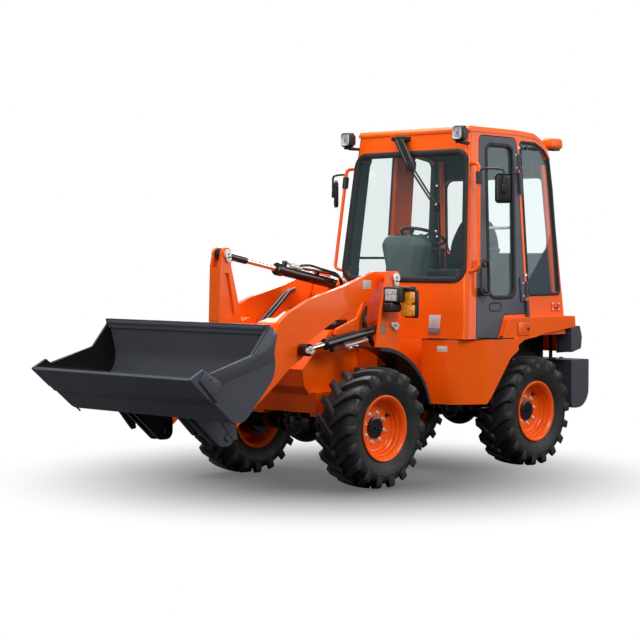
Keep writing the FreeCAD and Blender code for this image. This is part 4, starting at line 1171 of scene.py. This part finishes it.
def makeTiltFittings():
    rear, front = spot(0, -0.558, 1.404), spot(0, -1.730, 1.628)

    def at(distance, rise, x=0.0):
        return alongRam(rear, front, distance, -rise, x)

    run = (front - rear).normalized()
    up = at(0, 1) - at(0, 0)
    black = [stub(at(0.585, 0.03, 0.01), up, [(0.036, 0.019), (0.04, 0.014)]),
             stub(at(0.24, 0.03, 0.01), up, [(0.026, 0.017)]),
             stub(at(0.647, 0), run, [(0.008, 0.043), (0.012, 0.036)], 48)]
    silver = [stub(at(0.575, 0.06, 0.01), -run, [(0.026, 0.0125)], 6),
              stub(at(0.549, 0.06, 0.01), -run, [(0.085, 0.0095)]),
              stub(at(0.47, 0.058, 0.01), -run, [(0.03, 0.0135)], 6),
              stub(at(0.56, 0.04, 0.04), -run, [(0.12, 0.01)])]
    hoses = [tubeAlong(roundedPath([at(0.445, 0.058, 0.010), at(0.330, 0.088, 0.014), at(0.200, 0.076, 0.030),
                                    at(0.080, 0.066, 0.072), at(0.040, -0.010, 0.080)], 0.45), 0.0095),
             tubeAlong(roundedPath([at(0.440, 0.040, 0.040), at(0.300, 0.052, 0.044), at(0.160, 0.056, 0.060),
                                    at(0.075, 0.040, 0.098), at(0.045, -0.030, 0.100)], 0.45), 0.0095)]
    doneWith(black + hoses, "tiltPorts", blackPaint, "tilt_barrel_body")
    doneWith(silver, "tiltPipes", zincSteel, "tilt_barrel_body")
    doneWith(hexBolt(spot(0, -1.64, 1.588), (0, -0.19, -0.98), 0.012), "tiltRodBolt", darkSteel, "tilt_rod_body")


def makeHeadlights():
    # a square lamp on the tower, its lens cut in four, a boot below it and the turn lamp beside it
    for side, label, hand in bothSides:
        x, z, face = hand * 0.508, 1.340, -0.545
        quads = [plateOn(spot(x + dx, face + 0.002, z + dz), (dx * 1.5, -1, dz * 2), 0.0555, 0.0435, 0.008, 0.005)
                 for dx in (-0.028, 0.028) for dz in (-0.022, 0.022)]
        doneWith(quads, "headlightLens" + label, clearLens, "front_body")
        black = [slab(x, 0.07, (face, face + 0.075), (z - 0.056, z + 0.056), 0.014, 4),
                 gasket([spot(x - 0.062, face, z - 0.048), spot(x + 0.062, face, z - 0.048),
                         spot(x + 0.062, face, z + 0.048), spot(x - 0.062, face, z + 0.048)], 0.016, 0.016, 0.014,
                        (0, -1, 0)),
                 slab(hand * 0.485, 0.055, (-0.56, -0.46), (1.214, 1.284), 0.02, 4),
                 slab(hand * 0.48, 0.03, (-0.52, -0.44), (1.25, 1.3), 0.01, 3),
                 slab(hand * 0.462, 0.038, (-0.471, -0.4), (1.325, 1.365), 0.006, 2),
                 slab(hand * 0.58, 0.064, (-0.424, -0.392), (1.172, 1.374), 0.012, 4),
                 block(spot(hand * 0.52 - 0.06, -0.47, 1.366), spot(hand * 0.52 + 0.1, -0.396, 1.396), 0.008, 3),
                 hexBolt(spot(hand * 0.47, -0.43, 1.395), (0, 0, 1), 0.01)]
        housing = doneWith(black, "lampHousing" + label, blackPlastic, "front_body")
        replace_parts(housing, "headlight_" + side)
        amber = [slab(hand * 0.58, 0.054, (-0.466, -0.422), (low, high), 0.014, 4)
                 for low, high in ((1.184, 1.27), (1.276, 1.362))]
        amber += [stub(spot(hand * 0.58 - 0.036 + 0.018 * i, -0.465, 1.196), (0, 0, 1), [(0.152, 0.005)], 12)
                  for i in range(5)]
        doneWith(amber, "turnLamp" + label, amberLens, "front_body")


def sidePlate(outline, low, thick, hand):
    # an outline filled and extruded outwards from the plane at low
    plate = madeOf("plate", [spot(hand * low, y, z) for y, z in outline], [], [list(range(len(outline)))])
    editAll(plate)
    bpy.ops.mesh.extrude_region_move(TRANSFORM_OT_translate={"value": (hand * thick, 0, 0)})
    faceOut(plate)
    softEdges(plate, 0.0018, 2, 40)
    return plate


blankPlates = [
    ("towerPlate", "front_body", labelGrey, (0.424, -0.537, 1.092), (1, 0, 0), 0.040, 0.074, 0.004),
    ("boomPlate", "boom_body", paleLabel, (0.320, -0.593, 1.410), (1, 0, 0), 0.090, 0.062, 0.004),
    ("cabPlate", "rear_body", paleLabel, (0.360, 0.1285, 1.124), (0, -0.994, 0.110), 0.110, 0.100, 0.006),
    ("cabPlateLow", "rear_body", labelGrey, (0.360, 0.1205, 1.052), (0, -0.994, 0.110), 0.110, 0.040, 0.006),
    ("panelPlate", "rear_body", paleLabel, (0.478, 0.0735, 0.925), (0.15, -0.989, 0), 0.085, 0.044, 0.004),
    ("bucketPlate", "bucket_body", labelGrey, (0.797, -2.028, 1.124), (1, 0, 0), 0.026, 0.030, 0.004),
]

panelRim = [(0.302, 0.048), (0.490, 0.077), (0.560, 0.110), (0.611, 0.156), (0.655, 0.215), (0.685, 0.275),
            (0.706, 0.330), (0.717, 0.388), (0.717, 0.640)]


def makeTowerTrim():
    bolts = [hexBolt(spot(hand * 0.424, -0.385, 1.29), (hand, 0, 0), 0.009) for hand in (-1, 1)]
    doneWith(bolts, "frameBolts", zincSteel, "front_body")
    web = [(-0.59, 0.93), (-0.88, 1.06), (-0.86, 1.1), (-0.64, 1.17), (-0.56, 1.3)]
    doneWith([sidePlate(web, 0.248, 0.022, hand) for hand in (-1, 1)], "towerWebs", orangePaint, "front_body")
    for name, body, finish, centre, normal, wide, high, edge in blankPlates:
        doneWith(plateOn(spot(*centre), normal, wide, high, 0.0012, edge), name, finish, body)
    lines = []
    for hand in (-1, 1):
        for shift in (0.0, 0.026):
            path = roundedPath([spot(hand * (0.3 + shift), -0.47, 0.93), spot(hand * (0.3 + shift), -0.6, 1.06),
                                spot(hand * (0.3 + shift), -0.62, 1.16), spot(hand * 0.285, -0.56, 1.25)], 0.45)
            lines.append(tubeAlong(path, 0.0095))
    doneWith(lines, "frameLines", blackPaint, "front_body")
    valve = [block(spot(-0.160, -0.860, 1.086), spot(0.210, -0.680, 1.160), 0.008, 3)]
    valve += [stub(spot(-0.12 + 0.07 * i, -0.77, 1.158), (0, 0, 1), [(0.022, 0.02), (0.024, 0.014), (0.04, 0.014)])
              for i in range(5)]
    doneWith(valve, "valveBlock", blackPaint, "front_body")
    doneWith(slab(0, 0.3, (0.106, 0.1175), (0.66, 0.997), 0.003, 2), "cabApron", orangePaint)
    seams = [tubeAlong(roundedPath([spot(hand * x, y, 0.9945) for x, y in panelRim], 0.3), 0.0045)
             for hand in (-1, 1)]
    doneWith(seams, "panelSeams", sealRubber)


makePins()
blackEye("tilt_rod", (0, -1.730, 1.628), 0.245)
blackEye("lift_rod_left", (0.364, -1.280, 0.970), 0.070)
blackEye("lift_rod_right", (-0.364, -1.280, 0.970), 0.070)
makeBoomHoses()
makeRamFittings()
makeTiltFittings()
makeHeadlights()
makeTowerTrim()
print("front fittings ready")


# bucket plates and the rear body's trim

bucketPlates = {
    # outlines on the bucket's side, as (fore-and-aft, height)
    "edge": [(-2.584, 0.896), (-2.212, 0.992), (-2.051, 1.170), (-2.000, 1.112), (-2.018, 1.040), (-2.033, 0.950),
             (-2.507, 0.826)],
    "corner": [(-2.672, 0.852), (-2.628, 0.912), (-2.500, 0.836), (-2.536, 0.712)],
    "wear": [(-2.728, 0.860), (-2.5435, 0.7065), (-2.549, 0.6996), (-2.7338, 0.8531)],
}
edgeBolt = [(0, 0.011), (0.005, 0.009), (0.007, 0.005)]
ploughBolt = [(0, 0.013), (0.003, 0.012), (0.004, 0.006)]


def makeBucketTrim():
    plates = []
    welds = []
    bolts = []
    for hand in (-1, 1):
        plates.append(sidePlate(bucketPlates["edge"], 0.786, 0.011, hand))
        plates.append(sidePlate(bucketPlates["corner"], 0.786, 0.018, hand))
        for a, b in (((-2.507, 0.824), (-2.033, 0.948)), ((-2.500, 0.834), (-2.536, 0.712))):
            welds.append(barAlong([spot(hand * 0.789, *a), spot(hand * 0.789, *b)], 0.0045))
        for y, z in ((-2.590, 0.862), (-2.545, 0.775)):
            bolts.append(turned(spot(hand * 0.802, y, z), (hand, 0, 0), edgeBolt, 20))
    # the inner corner welds between the sides and the shell
    for hand in (-1, 1):
        welds.append(barAlong([spot(hand * 0.772, -2.34, 0.552), spot(hand * 0.772, -2.64, 0.802)], 0.006))
    # the top edge is a rolled tube; a wear plate lies under the lip, held by a row of plough bolts
    welds.append(barAlong([spot(-0.77, -2.082, 1.158), spot(0.77, -2.082, 1.158)], 0.02))
    plates.append(sidePlate(bucketPlates["wear"], -0.786, 1.572, 1))
    bolts += [turned(spot(-0.690 + 0.230 * i, -2.687, 0.8145), (0, -0.640, -0.769), ploughBolt, 20) for i in range(7)]
    doneWith(plates, "bucketPlates", charcoalPaint, "bucket_body")
    doneWith(welds, "bucketWelds", charcoalPaint, "bucket_body")
    doneWith(bolts, "bucketBolts", charcoalPaint, "bucket_body")


panelFace = 0.7045


def makeFuelFlap():
    for side, label, hand in bothSides:
        x = panelFace
        out = (hand, 0, 0)
        doneWith(plateOn(spot(hand * x, 0.78, 1.062), out, 0.15, 0.106, 0.006, 0.016), "serviceFlap" + label,
                 orangePaint)
        seam = gasket([spot(hand * (x + 0.002), 0.705, 1.009), spot(hand * (x + 0.002), 0.855, 1.009),
                       spot(hand * (x + 0.002), 0.855, 1.115), spot(hand * (x + 0.002), 0.705, 1.115)],
                      0.006, 0.003, 0.016, out)
        doneWith(seam, "flapSeam" + label, sealRubber)
        doneWith(stub(spot(hand * (x + 0.005), 0.835, 1.062), out, [(0.006, 0.013), (0.008, 0.01)]),
                 "flapLock" + label, darkSteel)
        bolts = [hexBolt(spot(hand * panelFace, y, 0.93 if y > 0.5 else 0.8), out, 0.009) for y in (0.42, 0.62)]
        doneWith(bolts, "panelBolts" + label, zincSteel)


def makeRearLamps():
    for side, label, hand in bothSides:
        x = hand * 0.640
        red = plateOn(spot(x, 1.560, 0.928), (0, 1, 0.12), 0.090, 0.056, 0.012, 0.010)
        amber = plateOn(spot(x, 1.569, 0.992), (0, 1, 0.45), 0.090, 0.040, 0.012, 0.010)
        doneWith(red, "tailLamp" + label, redLens)
        doneWith(amber, "rearTurnLamp" + label, amberLens)


def makeHoodTrim():
    # cooling slats across the hood's rear face, and a pull handle
    slats = [slab(0, 0.4, (1.646, 1.6545), (z, z + 0.007), 0.002, 1) for z in (0.872 + 0.017 * i for i in range(9))]
    surround = gasket([spot(-0.415, 1.650, 0.862), spot(0.415, 1.650, 0.862), spot(0.415, 1.650, 1.024),
                       spot(-0.415, 1.650, 1.024)], 0.014, 0.010, 0.020, (0, 1, 0))
    doneWith(slats + [surround], "hoodGrille", blackPlastic, "hood_body")
    doneWith(barAlong([spot(-0.07, 1.592, 1.098), spot(-0.07, 1.618, 1.126), spot(0.07, 1.618, 1.126),
                       spot(0.07, 1.592, 1.098)], 0.008, 0.012), "hoodPull", blackPlastic, "hood_body")


def makeWeightTrim():
    bolts = [hexBolt(spot(hand * 0.42, y, 0.7825), (0, 0, 1), 0.016) for hand in (-1, 1) for y in (1.59, 1.69)]
    doneWith(bolts, "weightBolts", darkSteel)
    pin = [stub(spot(0, 1.708, 0.438), (0, 0, 1), [(0.16, 0.0145)], 32),
           stub(spot(0, 1.708, 0.596), (0, 0, 1), [(0.01, 0.024), (0.014, 0.018)], 32),
           barAlong([spot(-0.022, 1.708, 0.606), spot(-0.022, 1.708, 0.66), spot(0.022, 1.708, 0.66),
                     spot(0.022, 1.708, 0.606)], 0.005, 0.016)]
    doneWith(pin, "drawbarPin", zincSteel)


makeBucketTrim()
makeFuelFlap()
makeRearLamps()
makeHoodTrim()
makeWeightTrim()
print("bucket and rear ready")


# inside the cab: linings, seat, levers and pedals; and what shows below the machine

def makeLinings():
    doneWith(slab(0, 0.49, (0.38, 1.15), (2.504, 2.53), 0.01, 3), "cabCeiling", slateLining)
    doneWith(barAlong([sideSpot(0.345, 1.6, -0.046, -1), sideSpot(0.735, 1.6, -0.046, -1)], 0.01), "windowBar",
             blackPlastic)
    doneWith(barAlong([rearSpot(-0.52, 1.3, -0.075), rearSpot(-0.48, 2.4, -0.075)], 0.026), "cabPost", orangePaint)
    doneWith(barAlong([rearSpot(0.585, 1.33, -0.052), rearSpot(0.52, 2.33, -0.052)], 0.024), "cornerPost",
             orangePaint)
    doneWith(barAlong([rearSpot(-0.47, 1.32, -0.085), rearSpot(-0.44, 2.3, -0.085)], 0.007), "postPipe",
             blackPlastic)


consolePlan = [(-1, -0.35), (-0.62, -1), (0.62, -1), (1, -0.35), (1, 0.7), (0.8, 1), (-0.8, 1), (-1, 0.7)]
consoleRings = [  # height, half width, front, rear
    (1.042, 0.145, 0.235, 0.430), (1.460, 0.160, 0.240, 0.425), (1.560, 0.182, 0.236, 0.420),
    (1.700, 0.222, 0.244, 0.410), (1.752, 0.200, 0.262, 0.395), (1.774, 0.165, 0.276, 0.370),
]


def makeConsole():
    # the dash pod: a many-sided hood that widens from its pedestal
    places = []
    for z, half, near, far in consoleRings:
        middle, reach = (near + far) / 2, (far - near) / 2
        places += [spot(-0.092 + u * half, middle + v * reach, z) for u, v in consolePlan]
    count = len(consolePlan)
    faces = [list(range(count))[::-1], list(range(len(places) - count, len(places)))]
    for ring in range(len(consoleRings) - 1):
        for i in range(count):
            a, b = ring * count + i, ring * count + (i + 1) % count
            faces.append([a, b, b + count, a + count])
    console = madeOf("console", places, [], faces)
    faceOut(console)
    softEdges(console, 0.014, 4, 12)
    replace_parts(doneWith(console, "dashPod", consolePlastic, smooth=50), "dash_console")


padding = {"voxel": 0.012, "frames": 20, "pressure": 4.0, "stiffness": 40, "give": 0.010}


def softPad(low, high, name, crown=1.0):
    # a cushion: remeshed and blown up a little as cloth, so its faces swell between the edges
    pad = block(low, high, 0.028, 4)
    editAll(pad)
    bpy.ops.mesh.subdivide(number_cuts=6)
    leaveEdit()
    for vertex in pad.data.vertices:
        share = (vertex.co.z - low.z) / (high.z - low.z)
        vertex.co.x *= 1 - (1 - crown) * max(share - 0.45, 0) ** 1.6 / 0.55 ** 1.6
    pickOnly(pad)
    pad.data.remesh_voxel_size = padding["voxel"]
    bpy.ops.object.voxel_remesh()
    cloth = pad.modifiers.new("swell", "CLOTH")
    cloth.settings.use_pressure = True
    cloth.settings.uniform_pressure_force = padding["pressure"]
    cloth.settings.effector_weights.gravity = 0.0
    cloth.settings.tension_stiffness = padding["stiffness"]
    cloth.settings.compression_stiffness = padding["stiffness"]
    cloth.point_cache.frame_end = padding["frames"]
    start = [vertex.co.copy() for vertex in pad.data.vertices]
    for stepNow in range(1, padding["frames"] + 1):
        bpy.context.scene.frame_set(stepNow)
    applyAll(pad)
    bpy.context.scene.frame_set(1)
    # no point moves further than the padding can give
    for vertex, rest in zip(pad.data.vertices, start):
        shift = vertex.co - rest
        if shift.length > padding["give"]:
            vertex.co = rest + shift.normalized() * padding["give"]
    smoother = pad.modifiers.new("smooth", "SMOOTH")
    smoother.iterations = 6
    applyAll(pad)
    doneWith(pad, name, seatCloth, smooth=60)
    return pad


def makeSeat():
    softPad(spot(-0.232, 0.580, 1.412), spot(0.232, 1.000, 1.502), "seatCushion")
    back = softPad(spot(-0.240, 1.020, 1.510), spot(0.240, 1.092, 1.915), "seatBack", 0.55)
    lean = turnAbout(spot(0, 1.030, 1.510), (1, 0, 0), -7)
    moved(back, lean)
    rests = []
    for hand in (-1, 1):
        rests.append(slab(hand * 0.275, 0.03, (0.72, 1.02), (1.64, 1.68), 0.014, 4))
        rests.append(slab(hand * 0.262, 0.012, (0.96, 1.01), (1.48, 1.66), 0.006, 2))
    bellows = [slab(0, 0.19, (0.71, 1.0), (z, z + 0.019), 0.008, 3) for z in (1.292 + i * 0.021 for i in range(5))]
    piece = doneWith(rests + bellows, "seatBase", blackPlastic)
    doneWith(moved(slab(0, 0.15, (1.085, 1.11), (1.52, 1.86), 0.012, 4), lean), "seatShell", blackPlastic)
    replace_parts(piece, "seat")
    # the belt buckle takes the red lens finish, with its faint painted glow
    doneWith(block(spot(0.238, 0.93, 1.47), spot(0.262, 0.962, 1.56), 0.006, 2), "beltBuckle", redLens)


def makeControls():
    black = []
    for x, y, z in ((-0.330, 0.700, 1.640), (-0.300, 0.780, 1.600)):
        black.append(barAlong([spot(x, y + 0.040, 1.300), spot(x, y + 0.020, z - 0.060), spot(x, y, z)], 0.008, 0.03))
        black.append(turned(spot(x, y, z - 0.01), (0, -0.15, 1),
                            [(0, 0.014), (0.02, 0.02), (0.05, 0.02), (0.062, 0.012)], 24))
    black.append(block(spot(-0.400, 0.700, 1.288), spot(-0.250, 1.020, 1.430), 0.020, 4))
    for x in (-0.245, 0.225):
        black.append(plateOn(spot(x, 0.330, 1.120), (0, 0.8, 0.6), 0.070, 0.110, 0.012, 0.010))
        black.append(barAlong([spot(x, 0.33, 1.12), spot(x, 0.3, 1.045)], 0.009))
    stalk = [barAlong([spot(-0.02, 0.4, 1.715), spot(-0.15, 0.38, 1.74)], 0.006),
             barAlong([spot(0.02, 0.4, 1.715), spot(0.15, 0.38, 1.74)], 0.006)]
    doneWith(black + stalk, "controls", blackPlastic)
    gauges = [stub(spot(x - 0.075, 0.318, 1.77), (0, 0.1, 0.99), [(0.006, 0.03), (0.008, 0.026)], 32)
              for x in (-0.08, 0.0, 0.08)]
    doneWith(gauges, "gauges", blackPaint, slot=None)
    doneWith(turned(spot(-0.16, 0.475, 1.79), (0, 0.36, 0.93),
                    [(0, 0.01), (0.014, 0.018), (0.04, 0.02), (0.048, 0.014)], 24), "wheelKnob", blackPlastic)
    doneWith(slab(0, 0.55, (0.24, 0.69), (1.036, 1.046), 0.003, 1), "floorMat", sealRubber)


def makeSteps():
    # two open treads hang below the cab's front corner on each side
    for side, label, hand in bothSides:
        parts = [slab(hand * 0.59, 0.05, (low, high), (z, z + 0.012), 0.004, 2)
                 for z, low, high in ((0.47, 0.342, 0.62), (0.7, 0.38, 0.6))]
        parts += [slab(hand * 0.545, 0.006, (y, y + 0.012), (0.47, 0.98), 0.003, 2) for y in (0.352, 0.606)]
        parts += [slab(hand * 0.59, 0.046, (y, y + 0.008), (0.48, 0.49), 0.002, 1)
                  for y in (0.372 + i * 0.040 for i in range(6))]
        doneWith(parts, "steps" + label, blackPaint)


def makeAxleTrim():
    for end, body, y in (("front", "front_body", -0.889), ("rear", "rear_body", 0.889)):
        parts = [turned(spot(0, y - 0.13, 0.425), (0, 1, 0), [(0, 0.09), (0.03, 0.12), (0.2, 0.12), (0.24, 0.08)],
                        40)]
        for x in (-0.180, 0.180):
            parts.append(stub(spot(x, y, 0.425), (math.copysign(1, x), 0, 0), [(0.02, 0.088), (0.026, 0.078)], 40))
        doneWith(parts, end + "AxleTrim", blackPaint, body)
    doneWith(stub(spot(0, -0.7, 0.56), (0, 1, 0), [(0.3, 0.028)]), "driveShaft", darkSteel, "front_body")


makeLinings()
makeConsole()
makeSeat()
makeControls()
makeSteps()
makeAxleTrim()
print("inside and underside ready")
